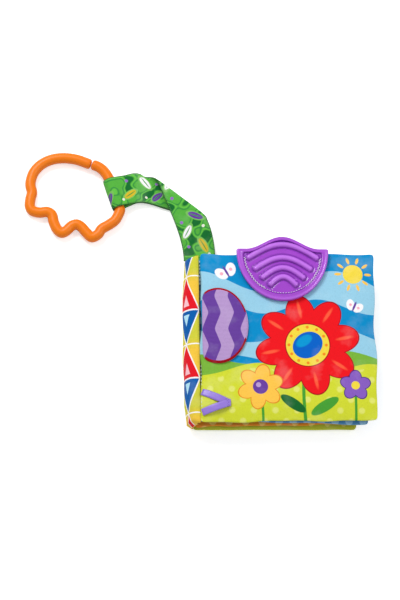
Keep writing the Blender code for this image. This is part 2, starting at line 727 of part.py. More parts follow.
def build():
    """The whole book at rest."""
    for thing in list(bpy.data.objects):
        bpy.data.objects.remove(thing)
    flap_x = FRONT_LEFT + FLAP_EDGE
    back = joint_empty("back_cover_axis", (0, 0, 0))
    spine = joint_empty("spine_axis", (BACK_LEFT + SEAM_HALF, 0, BACK_Z), back)
    leaf_1 = joint_empty("leaf_1_axis", (LEAF_1_LEFT + SEAM_HALF, 0, LEAF_1_Z), spine)
    leaf_2 = joint_empty("leaf_2_axis", (LEAF_2_LEFT + SEAM_HALF, 0, LEAF_2_Z), spine)
    cover = joint_empty("front_cover_axis", (FRONT_LEFT + SEAM_HALF, 0, FRONT_Z), spine)
    front = build_pads(cover, (leaf_1, leaf_2), back)
    flap_z = front.top_at(flap_x, 0) + PLAY + CLOTH + PLAY / 2
    flap = joint_empty("flap_axis", (flap_x, FLAP_CENTRE_Y, flap_z), cover)
    root_y = BACK_HEIGHT / 2 + PLAY + STRAP_HINGE_SETBACK
    strap = joint_empty("strap_axis", (BACK_LEFT + STRAP_ROOT_X, root_y, BACK_Z), back)
    link = joint_empty("link_axis", (LOOP_X, LOOP_Y, LOOP_Z), strap)
    build_spine(spine)
    build_teether(cover)
    build_flap(flap, front)
    build_ribbon(cover, front)
    build_strap(strap)
    build_link(link)


build()
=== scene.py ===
"""The crinkle cloth book, dressed: printed padded cloth, satin, tape, stitches and mouldings.

Metres, in the part's own frame. The book lies closed, spine towards -X, strap towards +Y.
"""
import math

import bpy
import numpy as np
from mathutils import Matrix, Vector
from mathutils.bvhtree import BVHTree


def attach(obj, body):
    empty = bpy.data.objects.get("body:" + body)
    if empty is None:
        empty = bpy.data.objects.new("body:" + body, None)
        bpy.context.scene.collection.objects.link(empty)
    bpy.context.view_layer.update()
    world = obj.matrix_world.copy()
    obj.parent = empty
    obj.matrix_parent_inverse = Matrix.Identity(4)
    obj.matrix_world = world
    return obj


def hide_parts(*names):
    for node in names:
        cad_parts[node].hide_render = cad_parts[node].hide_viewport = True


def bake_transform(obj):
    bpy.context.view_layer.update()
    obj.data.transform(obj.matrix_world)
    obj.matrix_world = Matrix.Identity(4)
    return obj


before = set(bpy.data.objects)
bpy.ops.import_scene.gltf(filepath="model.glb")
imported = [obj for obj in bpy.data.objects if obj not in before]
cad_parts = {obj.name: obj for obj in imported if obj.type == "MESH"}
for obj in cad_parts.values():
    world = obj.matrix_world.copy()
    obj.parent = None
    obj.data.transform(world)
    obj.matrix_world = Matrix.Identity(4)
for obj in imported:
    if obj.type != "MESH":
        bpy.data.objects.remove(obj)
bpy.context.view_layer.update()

# Sizes that the part's source gives
CLOTH = 0.0009
PLAY = 0.0003
SEAM_HALF = 0.00105
BACK_WIDTH = 0.136
BACK_HEIGHT = 0.142
FRONT_WIDTH = 0.1405
FRONT_HEIGHT = 0.138
COVER_THICKNESS = 0.007
LEAF_WIDTH = 0.1355
LEAF_HEIGHT = 0.139
LEAF_THICKNESS = 0.005
CROWN_REACH = 0.030
CROWN_POWER = 2.5
SPINE_LEAN = 0.0050
SPINE_LENGTH = 0.139
BACK_Z = 0.0035
LEAF_2_Z = 0.0099
LEAF_1_Z = 0.0153
FRONT_Z = 0.0217
SPINE_TALL = FRONT_Z - BACK_Z
BACK_LEFT = -BACK_WIDTH / 2
LEAF_2_LEFT = BACK_LEFT + SPINE_LEAN * (LEAF_2_Z - BACK_Z) / SPINE_TALL
LEAF_1_LEFT = BACK_LEFT + SPINE_LEAN * (LEAF_1_Z - BACK_Z) / SPINE_TALL
FRONT_LEFT = BACK_LEFT + SPINE_LEAN
LINK_RADIUS = 0.00425
LINK_REACH = 0.068
LINK_HEIGHT = 0.0735
STRAP_WIDTH = 0.0255
STRAP_CLOTH = 0.0010
STRAP_HEADING = math.radians(18.1)
LOOP = Vector((-0.1282, 0.1272, 0.00575))

# The camera that fits the photograph, and the studio
CAMERA_PLACE = (-0.20749, -0.71732, 2.2)
CAMERA_TURN = (0.3315, -0.0624, -0.0134)
FOCAL_PIXELS = 2914.74
PHOTO_HEIGHT = 600
SENSOR = 24
LAMPS = (("key", (-0.60, 0.90, 1.20), 16), ("fill", (0.95, -0.10, 1.20), 5))
LAMP_SIZE = 0.6
SKY_LIGHT = 0.52
FLOOR_HALF = 4
FLOOR_LEVEL = -0.0002
FLOOR_GREY = 0.88
FLOOR_GLOW = 0.48

UP = Vector((0, 0, 1))
HALF_TURN = math.pi
FULL_TURN = 2 * math.pi

scene = bpy.context.scene


# Materials

def linear(colour):
    """Linear light values of a colour given from 0 to 255 as a screen shows it."""
    shares = [value / 255 for value in colour]
    return (*(share / 12.92 if share <= 0.04045 else ((share + 0.055) / 1.055) ** 2.4
              for share in shares), 1.0)


def joined(operation):
    """A field's method that joins it to another field or a number."""
    return lambda field, other: field.math(operation, other)


class Field:
    """A number that a material's nodes work out at every point."""

    def __init__(self, tree, socket):
        self.tree = tree
        self.socket = socket

    def math(self, operation, *others, clamp=False):
        node = self.tree.nodes.new("ShaderNodeMath")
        node.operation = operation
        node.use_clamp = clamp
        self.tree.links.new(self.socket, node.inputs[0])
        for index, other in enumerate(others, start=1):
            if isinstance(other, Field):
                self.tree.links.new(other.socket, node.inputs[index])
            else:
                node.inputs[index].default_value = other
        return Field(self.tree, node.outputs[0])

    __add__ = joined("ADD")
    __sub__ = joined("SUBTRACT")
    __mul__ = joined("MULTIPLY")
    __truediv__ = joined("DIVIDE")
    less = joined("MINIMUM")
    more = joined("MAXIMUM")

    def __abs__(self):
        return self.math("ABSOLUTE")

    def sine(self):
        return self.math("SINE")

    def wave(self, period, shift=0.0):
        """From -1 to 1 and back over each period."""
        return ((self + shift) * (FULL_TURN / period)).sine()

    def fold(self, period):
        """The place within its own period, measured from the period's middle."""
        return (self + period / 2).math("FLOORED_MODULO", period) - period / 2


def length(x, y):
    """Distance of (x, y) from the origin."""
    return (x * x + y * y).math("SQRT")


def disc(x, y, centre, radius):
    """Distance outside a circle."""
    return length(x - centre[0], y - centre[1]) - radius


def seen_from(x, y, centre, angle):
    """A place measured from a centre, along axes turned by the angle."""
    x, y = x - centre[0], y - centre[1]
    cosine, sine = math.cos(angle), math.sin(angle)
    return x * cosine + y * sine, y * cosine - x * sine


def oval(x, y, centre, radii, angle=0.0):
    """About the distance outside an ellipse."""
    u, v = seen_from(x, y, centre, angle)
    return (length(u / radii[0], v / radii[1]) - 1) * min(radii)


def blossom(x, y, centre, petals, reach, radii, angle=0.0):
    """About the distance outside a ring of oval petals, each this far from the centre."""
    u, v = seen_from(x, y, centre, angle)
    bearing = v.math("ARCTAN2", u).fold(FULL_TURN / petals)
    away = length(u, v)
    along, aside = away * bearing.math("COSINE"), away * bearing.sine()
    return (length((along - reach) / radii[0], aside / radii[1]) - 1) * min(radii)


def dots(x, y, pitch, radius):
    """Distance outside staggered dots."""
    first = length(x.fold(pitch), y.fold(pitch))
    second = length((x + pitch / 2).fold(pitch), (y + pitch / 2).fold(pitch))
    return first.less(second) - radius


class Dye:
    """A material whose colours are laid over each other, with cloth or plastic under them."""

    def __init__(self, name, ground):
        self.material = bpy.data.materials.new(name)
        self.material.use_nodes = True
        self.tree = self.material.node_tree
        self.shader = self.tree.nodes["Principled BSDF"]
        self.place = self.tree.nodes.new("ShaderNodeTexCoord")
        self.colour = self.tree.nodes.new("ShaderNodeRGB").outputs[0]
        self.colour.default_value = linear(ground)
        self.material.diffuse_color = linear(ground)

    def axes(self, source="Object"):
        """The fields x and y of the object's own coordinates, or of its UV map."""
        parts = self.tree.nodes.new("ShaderNodeSeparateXYZ")
        self.tree.links.new(self.place.outputs[source], parts.inputs[0])
        return [Field(self.tree, socket) for socket in parts.outputs[:2]]

    def noise(self, scale, detail=2.0, source="Object", stretch=(1, 1, 1)):
        """Smooth random values about 0.5, with this many bumps a metre."""
        node = self.tree.nodes.new("ShaderNodeTexNoise")
        node.inputs["Scale"].default_value = scale
        node.inputs["Detail"].default_value = detail
        mapping = self.tree.nodes.new("ShaderNodeMapping")
        mapping.inputs["Scale"].default_value = stretch
        self.tree.links.new(self.place.outputs[source], mapping.inputs["Vector"])
        self.tree.links.new(mapping.outputs[0], node.inputs["Vector"])
        return Field(self.tree, node.outputs[0])

    def lay(self, distance, colour, soft=0.0003):
        """Lays a colour where the distance is below 0, with a soft edge."""
        self.blend((distance * (-1 / soft) + 0.5).math("MULTIPLY", 1.0, clamp=True), colour)

    def blend(self, mask, colour):
        """Mixes a colour in by a mask from 0 to 1."""
        node = self.tree.nodes.new("ShaderNodeMix")
        node.data_type = "RGBA"
        node.clamp_factor = True
        self.tree.links.new(mask.socket, node.inputs["Factor"])
        before, after = (node.inputs[index] for index in (6, 7))
        self.tree.links.new(self.colour, before)
        after.default_value = linear(colour)
        self.colour = node.outputs[2]

    def finish(self, **values):
        """Joins the colours to the shader and sets its plain values."""
        self.tree.links.new(self.colour, self.shader.inputs["Base Color"])
        for name, value in values.items():
            self.shader.inputs[name.replace("_", " ")].default_value = value
        return self.material

    def bump(self, height, depth):
        """Raises the surface by a field times the depth in metres."""
        node = self.tree.nodes.new("ShaderNodeBump")
        node.inputs["Distance"].default_value = depth
        self.tree.links.new(height.socket, node.inputs["Height"])
        before = self.shader.inputs["Normal"]
        if before.is_linked:
            self.tree.links.new(before.links[0].from_socket, node.inputs["Normal"])
        self.tree.links.new(node.outputs[0], before)

    def weave(self, x, y, pitch=0.00055, depth=0.00005):
        """Crossing threads, uneven thread by thread, and lighter patches painted in as cloth sheen."""
        uneven = self.noise(900, detail=3)
        self.bump(abs(x.wave(pitch)).more(abs(y.wave(pitch))) + uneven, depth)
        # Painted sheen: soft lighter patches over the cloth.
        self.blend((self.noise(60, detail=4) - 0.5) * 0.35, (255, 255, 255))
        self.blend((uneven - 0.45) * 0.30, (30, 30, 40))

    def cloth(self, **values):
        """Finishes as matt printed cloth."""
        return self.finish(**{"Roughness": 0.85, "Sheen_Weight": 0.06, "Sheen_Roughness": 0.4,
                              "Specular_IOR_Level": 0.12, **values})


# The palette of the prints
SKY = (0, 138, 198)
LIGHT_SKY = (150, 204, 228)
RED = (236, 18, 28)
DARK_RED = (160, 12, 24)
YELLOW = (240, 214, 66)
GOLD = (250, 196, 76)
LIME = (208, 216, 52)
PALE_LIME = (224, 228, 112)
ROYAL = (0, 96, 196)
BRIGHT_BLUE = (0, 148, 208)
GREEN = (70, 158, 52)
DARK_GREEN = (18, 104, 44)
PURPLE = (104, 62, 158)
LILAC = (186, 154, 208)
WHITE = (246, 244, 246)

# The cover's picture, from its spine side and its middle height. Wavy lines are given as level,
# height, period and shift; petals as count, reach, radii and turn.
LIGHT_BANDS = (((0.047, 0.009, 0.110, 0.030), (0.026, 0.006, 0.085, 0.012)),
               ((0.003, 0.007, 0.120, 0.050), (-0.020, 0.006, 0.150, 0.020)))
HILL = (-0.016, -0.006, 0.130, -0.010)
MEADOW = (-0.026, -0.005, 0.090, 0.020)
DOTTED_MEADOW = (-0.030, -0.005, 0.090, 0.020)
SUN, SUN_RADIUS, RAYS = (0.1235, 0.0535), 0.0080, (10, 0.0120, (0.0028, 0.0011))
BIG, BIG_PETALS = (0.0860, -0.0060), (8, 0.0250, (0.0160, 0.0112), 0.20)
BIG_HEART, BIG_STREAKS = 0.0172, (8, 0.0300, (0.0060, 0.0013), 0.20)
BIG_SEEDS, BIG_EYE, EYE_TURN = (12, 0.0148, (0.0012, 0.0012)), (0.0125, 0.0104), 0.6
GLEAM_SHIFT, GLEAM = (-0.0028, 0.0034), (0.0070, 0.0040)
LEAVES = (((0.0985, -0.0560), (0.0125, 0.0042), 0.55, GREEN),
          ((0.0735, -0.0540), (0.0115, 0.0040), 2.55, DARK_GREEN))
SMALL, SMALL_PETALS, SMALL_HEART = (0.0480, -0.0405), (6, 0.0100, (0.0078, 0.0056), 0.35), 0.0060
BELL, BELL_PETALS, BELL_HEART = (0.1230, -0.0390), (5, 0.0060, (0.0060, 0.0046), 0.30), 0.0034
PETAL_EDGE = 0.0006
BUTTERFLIES = (((0.0225, 0.0550), 0.5, 1.0), ((0.1240, 0.0265), -0.4, 0.8))
WING_REACH, WING, WING_SPOT, BUTTERFLY_BODY = 0.0042, (0.0040, 0.0058), 0.0014, (0.0009, 0.0052)


def cover_print():
    """A garden: a big red flower, smaller ones, a sun, two butterflies, sky and meadow."""
    dye = Dye("cover_print", SKY)
    x, y = dye.axes()
    x = x - FRONT_LEFT

    def over(level, height, period, shift):
        return y - level - x.wave(period, shift) * height

    def stem(flower, half, sway=0.0, period=1.0):
        aside = x - flower[0] - (y - flower[1]).wave(period) * sway
        dye.lay((abs(aside) - half).more(y - flower[1]), GREEN)

    def petals(flower, shape, edge_colour, colour, edge=PETAL_EDGE):
        ring = blossom(x, y, flower, *shape)
        dye.lay(ring - edge, edge_colour)
        dye.lay(ring, colour)

    def near(point, shift):
        return point[0] + shift[0], point[1] + shift[1]

    for top, low in LIGHT_BANDS:
        dye.lay(over(*top).more(over(*low) * -1), LIGHT_SKY)
    dye.lay(blossom(x, y, SUN, *RAYS), GOLD)
    dye.lay(disc(x, y, SUN, SUN_RADIUS), YELLOW)
    dye.lay(over(*HILL), (120, 178, 60))
    dye.lay(over(*MEADOW), LIME)
    dye.lay(dots(x, y, 0.0170, 0.0024).more(over(*DOTTED_MEADOW)), PALE_LIME, soft=0.0012)
    stem(BIG, 0.0013, 0.004, 0.160)
    for place, radii, turn, colour in LEAVES:
        dye.lay(oval(x, y, place, radii, turn), colour)
    petals(BIG, BIG_PETALS, DARK_RED, RED, edge=0.0007)
    dye.lay(blossom(x, y, BIG, *BIG_STREAKS), (250, 92, 60), soft=0.0010)
    dye.lay(disc(x, y, BIG, BIG_HEART + 0.0008), DARK_RED)
    dye.lay(disc(x, y, BIG, BIG_HEART), YELLOW)
    dye.lay(blossom(x, y, BIG, *BIG_SEEDS), (240, 140, 36))
    dye.lay(oval(x, y, BIG, BIG_EYE, EYE_TURN), ROYAL)
    dye.lay(oval(x, y, near(BIG, GLEAM_SHIFT), GLEAM, EYE_TURN), BRIGHT_BLUE, soft=0.0012)
    stem(SMALL, 0.0010, -0.002, 0.120)
    petals(SMALL, SMALL_PETALS, (226, 128, 30), GOLD)
    dye.lay(disc(x, y, SMALL, SMALL_HEART), PURPLE)
    dye.lay(disc(x, y, near(SMALL, (-0.0015, 0.0015)), 0.0020), LILAC)
    stem(BELL, 0.0010)
    petals(BELL, BELL_PETALS, (66, 36, 112), (134, 92, 190))
    dye.lay(disc(x, y, BELL, BELL_HEART), YELLOW)
    for centre, angle, size in BUTTERFLIES:
        for side in (-1, 1):
            reach = side * WING_REACH * size
            wing = near(centre, (reach * math.cos(angle), reach * math.sin(angle)))
            radii = (WING[0] * size, WING[1] * size)
            dye.lay(oval(x, y, wing, radii, angle - side / 2), WHITE)
            dye.lay(disc(x, y, wing, WING_SPOT * size), (244, 170, 190))
        dye.lay(oval(x, y, centre, (BUTTERFLY_BODY[0], BUTTERFLY_BODY[1] * size), angle), PURPLE)
    dye.weave(x, y)
    return dye.cloth()


def dotted_print(name, ground, spots, pitch, radius):
    """Plain cloth with staggered dots."""
    dye = Dye(name, ground)
    x, y = dye.axes()
    dye.lay(dots(x, y, pitch, radius), spots, soft=0.0006)
    dye.weave(x, y)
    return dye.cloth()


PINSTRIPE_PITCH = 0.012
PINSTRIPE_HALF = 0.0022


def striped_print(name, ground, stripe):
    """Plain cloth with wavy stripes."""
    dye = Dye(name, ground)
    x, y = dye.axes()
    line = abs((x + y.wave(0.040) * 0.003).fold(PINSTRIPE_PITCH)) - PINSTRIPE_HALF
    dye.lay(line, stripe, soft=0.0006)
    dye.weave(x, y)
    return dye.cloth()


DIAMOND_PERIOD = 0.0566
DIAMOND_MIDDLE = 0.0238
DIAMOND_HALF = 0.0119
DIAMOND_ASIDE = 0.0112
INSERT_HALF = 0.0034
INSERT_RISE = 0.0035
INSERT_HEIGHT = 0.0095


def harlequin_print():
    """The spine's diamonds: red over blue in a white lattice, lime and gold between."""
    dye = Dye("harlequin_print", (206, 204, 62))
    u, v = dye.axes("UV")
    level = v - DIAMOND_MIDDLE
    from_middle = level.fold(DIAMOND_PERIOD)
    from_crossing = (level + DIAMOND_PERIOD / 2).fold(DIAMOND_PERIOD)
    side = u - DIAMOND_ASIDE
    dye.lay(from_crossing, (240, 196, 66), soft=0.010)
    diamond = (abs(side) / DIAMOND_HALF + abs(from_middle) / (DIAMOND_PERIOD / 2) - 1) * DIAMOND_HALF
    dye.lay(diamond.more(from_middle * -1), (226, 20, 36))
    dye.lay(diamond.more(from_middle), (0, 92, 170))
    for way, colour in ((1, (250, 196, 206)), (-1, (178, 226, 244))):
        rise = from_middle * way - INSERT_RISE
        small = (abs(side + 0.0002) / INSERT_HALF + rise / INSERT_HEIGHT - 1) * 0.0028
        dye.lay(small.more(rise * -1), colour)
    dye.lay(abs(diamond) - 0.00055, WHITE)
    dye.lay((abs(from_middle) - 0.0006).more(diamond), WHITE)
    dye.lay((abs(from_crossing) - 0.0005).more(diamond * -1), WHITE)
    dye.weave(u, v)
    return dye.cloth()


STRIPE_PERIOD = 0.0202
STRIPE_HALF = 0.0049
STRIPE_ASIDE = 0.0126
SWAY_PERIOD = 0.0276
SWAY_MIDDLE = 0.0200
RIB_PITCH = 0.0011


def wavy_print():
    """The flap's ribbed cloth with wavy stripes in two purples, and painted shade in step with its ribs.
    """
    dye = Dye("wavy_print", LILAC)
    x, y = dye.axes()
    swing = (y - SWAY_MIDDLE).wave(SWAY_PERIOD, SWAY_PERIOD / 4) * 0.93
    sway = swing.math("ARCSINE") * -0.0019 + 0.0024
    dye.lay(abs((x - FRONT_LEFT - STRIPE_ASIDE + sway).fold(STRIPE_PERIOD)) - STRIPE_HALF, PURPLE)
    ribs = y.wave(RIB_PITCH)
    dye.bump(ribs, 0.00006)
    # Painted shade: darker lines in step with the ribs.
    dye.blend((ribs + 1) * 0.09, (60, 40, 90))
    dye.weave(x, y, pitch=RIB_PITCH, depth=0.00004)
    return dye.cloth(Sheen_Weight=0.35)


def plain_cloth(name, colour):
    """Cloth of one colour."""
    dye = Dye(name, colour)
    x, y = dye.axes()
    dye.weave(x, y)
    return dye.cloth()


PATCH_COLOURS = ((0.47, (24, 122, 62)), (0.51, (96, 190, 66)), (0.60, (16, 108, 44)))
PATCH_SIZE = 0.012
LEAF_PERIOD = 0.0440
LEAF, LEAF_RIB = (0.0062, 0.0025), (0.0052, 0.0004)
STRAP_LEAVES = (((0.0050, -0.0120), 0.7, PURPLE), ((-0.0055, -0.0010), 2.3, WHITE),
                ((0.0045, 0.0125), 1.2, (214, 184, 40)))
STRAP_DOTS = ((-0.0075, -0.010, 0.0014, (150, 110, 190)), (0.0080, -0.002, 0.0012, (236, 236, 220)))
THREAD_PITCH = 0.0016


def strap_print():
    """Printed tape: patches in greens with leaves and dots, dark sewn edges."""
    dye = Dye("strap_print", (84, 176, 62))
    u, v = dye.axes("UV")
    patches = dye.noise(95, detail=0.0, source="UV")
    for share, colour in PATCH_COLOURS:
        dye.lay((patches - share) * -PATCH_SIZE, colour, soft=0.0006)
    row = v.fold(LEAF_PERIOD)
    for place, turn, colour in STRAP_LEAVES:
        leaf = oval(u, row, place, LEAF, turn)
        dye.lay(leaf - 0.0008, (120, 190, 90))
        dye.lay(leaf, colour)
        dye.lay(oval(u, row, place, LEAF_RIB, turn), (60, 150, 60))
    for across, along, radius, colour in STRAP_DOTS:
        dye.lay(length(u - across, (v - along).fold(LEAF_PERIOD / 2)) - radius, colour)
    from_edge = abs(u) * -1 + STRAP_WIDTH / 2
    dye.lay(from_edge - 0.0005, (34, 96, 40))
    thread = abs(v.fold(THREAD_PITCH)) - 0.0003
    dye.lay((abs(from_edge * -1 + 0.0008) - 0.0005).more(thread), (90, 150, 80))
    dye.bump(v.wave(0.0007), 0.00004)
    dye.weave(u, v)
    return dye.cloth(Roughness=0.72)


# Where the ribbon's two legs part; the upper leg beyond it gets painted shade.
RIBBON_PARTING = -0.0535


def satin():
    """Glossy ribbon cloth with threads along its length, the upper leg painted darker as shade of the
    satin's sheen.
    """
    dye = Dye("satin", (140, 110, 208))
    y = dye.axes()[1]
    # Painted shade: the upper leg darker than the lower one.
    dye.blend((y - RIBBON_PARTING) * 55, (112, 84, 190))
    threads = dye.noise(700, source="UV", stretch=(6, 0.5, 1))
    dye.bump(threads, 0.00004)
    dye.blend((threads - 0.4) * 0.5, (176, 158, 236))
    return dye.finish(Roughness=0.36, Sheen_Weight=0.4, Anisotropic=0.5, Specular_IOR_Level=0.6)


def moulded(name, colour, darker_tone_and_shade, highlight_colour=None, **values):
    """Glossy moulded plastic, uneven in its flow; its UV map can hold shares of painted highlight on
    raised parts and painted shade in hollows.
    """
    dye = Dye(name, colour)
    if highlight_colour:
        raised, hollow_shade = dye.axes("UV")
        # Painted highlight where raised; painted shade where the moulding dips.
        dye.blend(raised * 0.85, highlight_colour)
        dye.blend(hollow_shade * 0.8, darker_tone_and_shade)
    dye.blend((dye.noise(38, detail=3) - 0.45) * 0.6, darker_tone_and_shade)
    dye.bump(dye.noise(130), 0.00006)
    dye.bump(dye.noise(1500, detail=1), 0.000006)
    return dye.finish(**{"Roughness": 0.26, "Coat_Weight": 0.25, "Coat_Roughness": 0.12,
                         "Specular_IOR_Level": 0.45, **values})


def thread_material(name, colour):
    """Twisted sewing thread."""
    dye = Dye(name, colour)
    dye.blend((dye.noise(2500, detail=1) - 0.4) * 0.5, (110, 90, 130))
    return dye.finish(Roughness=0.6, Sheen_Weight=0.4)


# Meshes

def piece(name, vertices, faces, materials):
    """A smooth mesh object in the scene."""
    mesh = bpy.data.meshes.new(name)
    mesh.from_pydata([tuple(vertex) for vertex in vertices], [], faces)
    mesh.validate()
    mesh.shade_smooth()
    for material in materials:
        mesh.materials.append(material)
    made = bpy.data.objects.new(name, mesh)
    scene.collection.objects.link(made)
    return made


def ring_faces(rings, around, first=0):
    """Quads between rings of vertices."""
    faces = []
    for ring in range(rings - 1):
        start = first + ring * around
        for step in range(around):
            following = (step + 1) % around
            faces.append((start + step, start + following, start + around + following,
                          start + around + step))
    return faces


def tube_faces(rings, around, first=0):
    """Quads between rings of vertices, and a face over each end."""
    last = first + (rings - 1) * around
    return ring_faces(rings, around, first) + [tuple(reversed(range(first, first + around))),
                                               tuple(range(last, last + around))]


def fan_faces(centre, first, around):
    """Triangles between a ring of vertices and a centre."""
    return [(centre, first + step, first + (step + 1) % around) for step in range(around)]


def set_uv(made, places):
    """Gives a mesh a UV map in metres from one place for each vertex."""
    layer = made.data.uv_layers.new(name="metres")
    corners = np.zeros(len(made.data.loops), dtype=np.int32)
    made.data.loops.foreach_get("vertex_index", corners)
    layer.data.foreach_set("uv", np.asarray(places, dtype=np.float32)[corners].ravel())


def read_points(mesh):
    """The places of a mesh's vertices, one in each row."""
    places = np.zeros(len(mesh.vertices) * 3)
    mesh.vertices.foreach_get("co", places)
    return places.reshape(-1, 3)


def write_points(mesh, places):
    """Moves a mesh's vertices to these places."""
    mesh.vertices.foreach_set("co", places.ravel())
    mesh.update()


def rounded(share):
    """From 0 at a share of 0 to 1 at 1, as a quarter of a circle rises."""
    return math.sqrt(max(1 - (1 - min(share, 1)) ** 2, 0.0))


def headings(points):
    """The direction of a line at each of its points."""
    return [(after - before).normalized()
            for before, after in zip(points[:1] + points, points[1:] + points[-1:])]


def towards(centre, place, share):
    """The point at this share of the way from a centre out to a place."""
    return [middle + (end - middle) * share for middle, end in zip(centre, place)]


def smooth_route(points, steps):
    """Points along a smooth curve through the inner points; the first and last only steer it."""
    route = []
    for before, start, end, after in zip(points, points[1:], points[2:], points[3:]):
        for step in range(steps):
            t = step / steps
            route.append(tuple(
                0.5 * (2 * b + (c - a) * t + (2 * a - 5 * b + 4 * c - d) * t * t
                       + (3 * b - a - 3 * c + d) * t ** 3)
                for a, b, c, d in zip(before, start, end, after)))
    route.append(tuple(points[-2]))
    return route


def set_scene():
    """Camera, lights, floor and background."""
    data = bpy.data.cameras.new("camera")
    camera = bpy.data.objects.new("camera", data)
    scene.collection.objects.link(camera)
    camera.location = CAMERA_PLACE
    camera.rotation_euler = CAMERA_TURN
    data.sensor_fit = "VERTICAL"
    data.sensor_height = SENSOR
    data.lens = SENSOR * FOCAL_PIXELS / PHOTO_HEIGHT
    scene.camera = camera
    for name, place, energy in LAMPS:
        light = bpy.data.lights.new(name, "AREA")
        light.energy = energy
        light.size = LAMP_SIZE
        lamp = bpy.data.objects.new(name, light)
        lamp.location = place
        lamp.rotation_euler = (-lamp.location).to_track_quat("-Z", "Y").to_euler()
        scene.collection.objects.link(lamp)
    scene.world = bpy.data.worlds.new("studio")
    scene.world.use_nodes = True
    background = scene.world.node_tree.nodes["Background"]
    background.inputs["Color"].default_value = (1.0, 1.0, 1.0, 1.0)
    background.inputs["Strength"].default_value = SKY_LIGHT
    corners = [(x * FLOOR_HALF, y * FLOOR_HALF, FLOOR_LEVEL)
               for x, y in ((-1, -1), (1, -1), (1, 1), (-1, 1))]
    floor = piece("floor", corners, [(0, 1, 2, 3)], [floor_material()])
    scene.view_settings.view_transform = "Standard"


def floor_material():
    """White paper, lit up a little for the camera only."""
    material = bpy.data.materials.new("paper")
    material.use_nodes = True
    tree = material.node_tree
    shader = tree.nodes["Principled BSDF"]
    for name, value in (("Base Color", (FLOOR_GREY, FLOOR_GREY, FLOOR_GREY, 1.0)), ("Roughness", 1.0),
                        ("Specular IOR Level", 0.0), ("Emission Color", (1.0, 1.0, 1.0, 1.0))):
        shader.inputs[name].default_value = value
    rays = tree.nodes.new("ShaderNodeLightPath")
    glow = Field(tree, rays.outputs["Is Camera Ray"]) * FLOOR_GLOW
    tree.links.new(glow.socket, shader.inputs["Emission Strength"])
    return material


# Padded cloth

GRID = 0.0026
SEAM_LINES = (0.0, 0.0004, 0.0011, 0.0022, 0.0038, 0.0058)
CORNER = 0.0032
CROWN_RING_SHARES = (0.17, 0.43, 1.0)
SIMULATION_SCALE = 10
SIMULATION_FRAMES = 20
STIFFNESS = 12
FABRIC_GROWTH = 0.035
FILL_PRESSURE = 2.5
FILL_CAP = 0.0009
FILL_ROOM = 0.0003
PUCKER = 0.00045
PUCKER_REACH = 0.010
WAVE_REACH = 0.0055
SWAY = 0.0007
SWAY_REACH = 0.02
SPINE_SIDE_STRETCH = 1.8
SPINE_SIDE_STEP = 0.0035


def crown(inset, full):
    """How far a pad's cloth stands from its middle this far from its seam."""
    return (full - SEAM_HALF) * (1 - (1 - min(inset / CROWN_REACH, 1)) ** CROWN_POWER)


def cover_top(x, y):
    """Height of the front cover's crown over a place, straight between its rings."""
    inset = min(x - FRONT_LEFT, FRONT_LEFT + FRONT_WIDTH - x, FRONT_HEIGHT / 2 - abs(y))
    inset = max(inset, SEAM_HALF)
    full = COVER_THICKNESS / 2
    before, height = SEAM_HALF, SEAM_HALF
    for share in CROWN_RING_SHARES:
        stop = SEAM_HALF + share * CROWN_REACH
        target = SEAM_HALF + crown(share * CROWN_REACH, full)
        if inset <= stop:
            return FRONT_Z + height + (target - height) * (inset - before) / (stop - before)
        before, height = stop, target
    return FRONT_Z + full


def grid_lines(span):
    """Places of grid lines along a side, close together at the seams."""
    inner = span - 2 * SEAM_LINES[-1]
    count = round(inner / GRID)
    even = [SEAM_LINES[-1] + inner * step / count for step in range(count + 1)]
    return list(SEAM_LINES[:-1]) + even + [span - line for line in reversed(SEAM_LINES[:-1])]


def edge_waves(seed, low, high, count=9):
    """A function of the place along an edge: a sum of small waves, between -1 and 1."""
    random = np.random.default_rng(seed)
    periods = random.uniform(low, high, count)
    shifts = random.uniform(0, FULL_TURN, count)
    return lambda place: float(np.mean(np.sin(FULL_TURN * place / periods + shifts))) * 1.8


def filled(made):
    """Lets cloth simulation fill the piece and pull it into folds; no point moves past the cap."""
    mesh = made.data
    before = read_points(mesh)
    mesh.transform(Matrix.Scale(SIMULATION_SCALE, 4))
    cloth = made.modifiers.new("cloth", "CLOTH")
    for name, value in (("quality", 5), ("mass", 0.25), ("tension_stiffness", STIFFNESS),
                        ("compression_stiffness", STIFFNESS), ("shear_stiffness", 4),
                        ("bending_stiffness", 0.25), ("use_pressure", True),
                        ("uniform_pressure_force", FILL_PRESSURE), ("shrink_min", -FABRIC_GROWTH)):
        setattr(cloth.settings, name, value)
    cloth.settings.effector_weights.gravity = 0
    cloth.point_cache.frame_start = 1
    cloth.point_cache.frame_end = SIMULATION_FRAMES
    for number in range(1, SIMULATION_FRAMES + 1):
        scene.frame_set(number)
    evaluated = made.evaluated_get(bpy.context.evaluated_depsgraph_get())
    after = read_points(evaluated.to_mesh())
    evaluated.to_mesh_clear()
    made.modifiers.clear()
    move = after / SIMULATION_SCALE - before
    size = np.linalg.norm(move, axis=1, keepdims=True)
    move *= FILL_CAP * np.tanh(size / FILL_CAP) / np.maximum(size, 1e-9)
    write_points(mesh, before + move)
    scene.frame_set(1)


def subdivided(made):
    """Applies a smooth subdivision."""
    modifier = made.modifiers.new("smooth", "SUBSURF")
    modifier.levels = modifier.render_levels = 1
    depsgraph = bpy.context.evaluated_depsgraph_get()
    mesh = bpy.data.meshes.new_from_object(made.evaluated_get(depsgraph))
    made.modifiers.clear()
    made.data = mesh
    mesh.shade_smooth()
    return made


def corner_rounded(place, half, other, other_half):
    """A place across a pad, drawn in where the pad's corner is round."""
    over, over_other = abs(place) - (half - CORNER), abs(other) - (other_half - CORNER)
    if over <= 0 or over_other <= 0:
        return place
    pull = max(over, over_other) / math.hypot(over, over_other)
    return math.copysign(half - CORNER + over * pull, place)


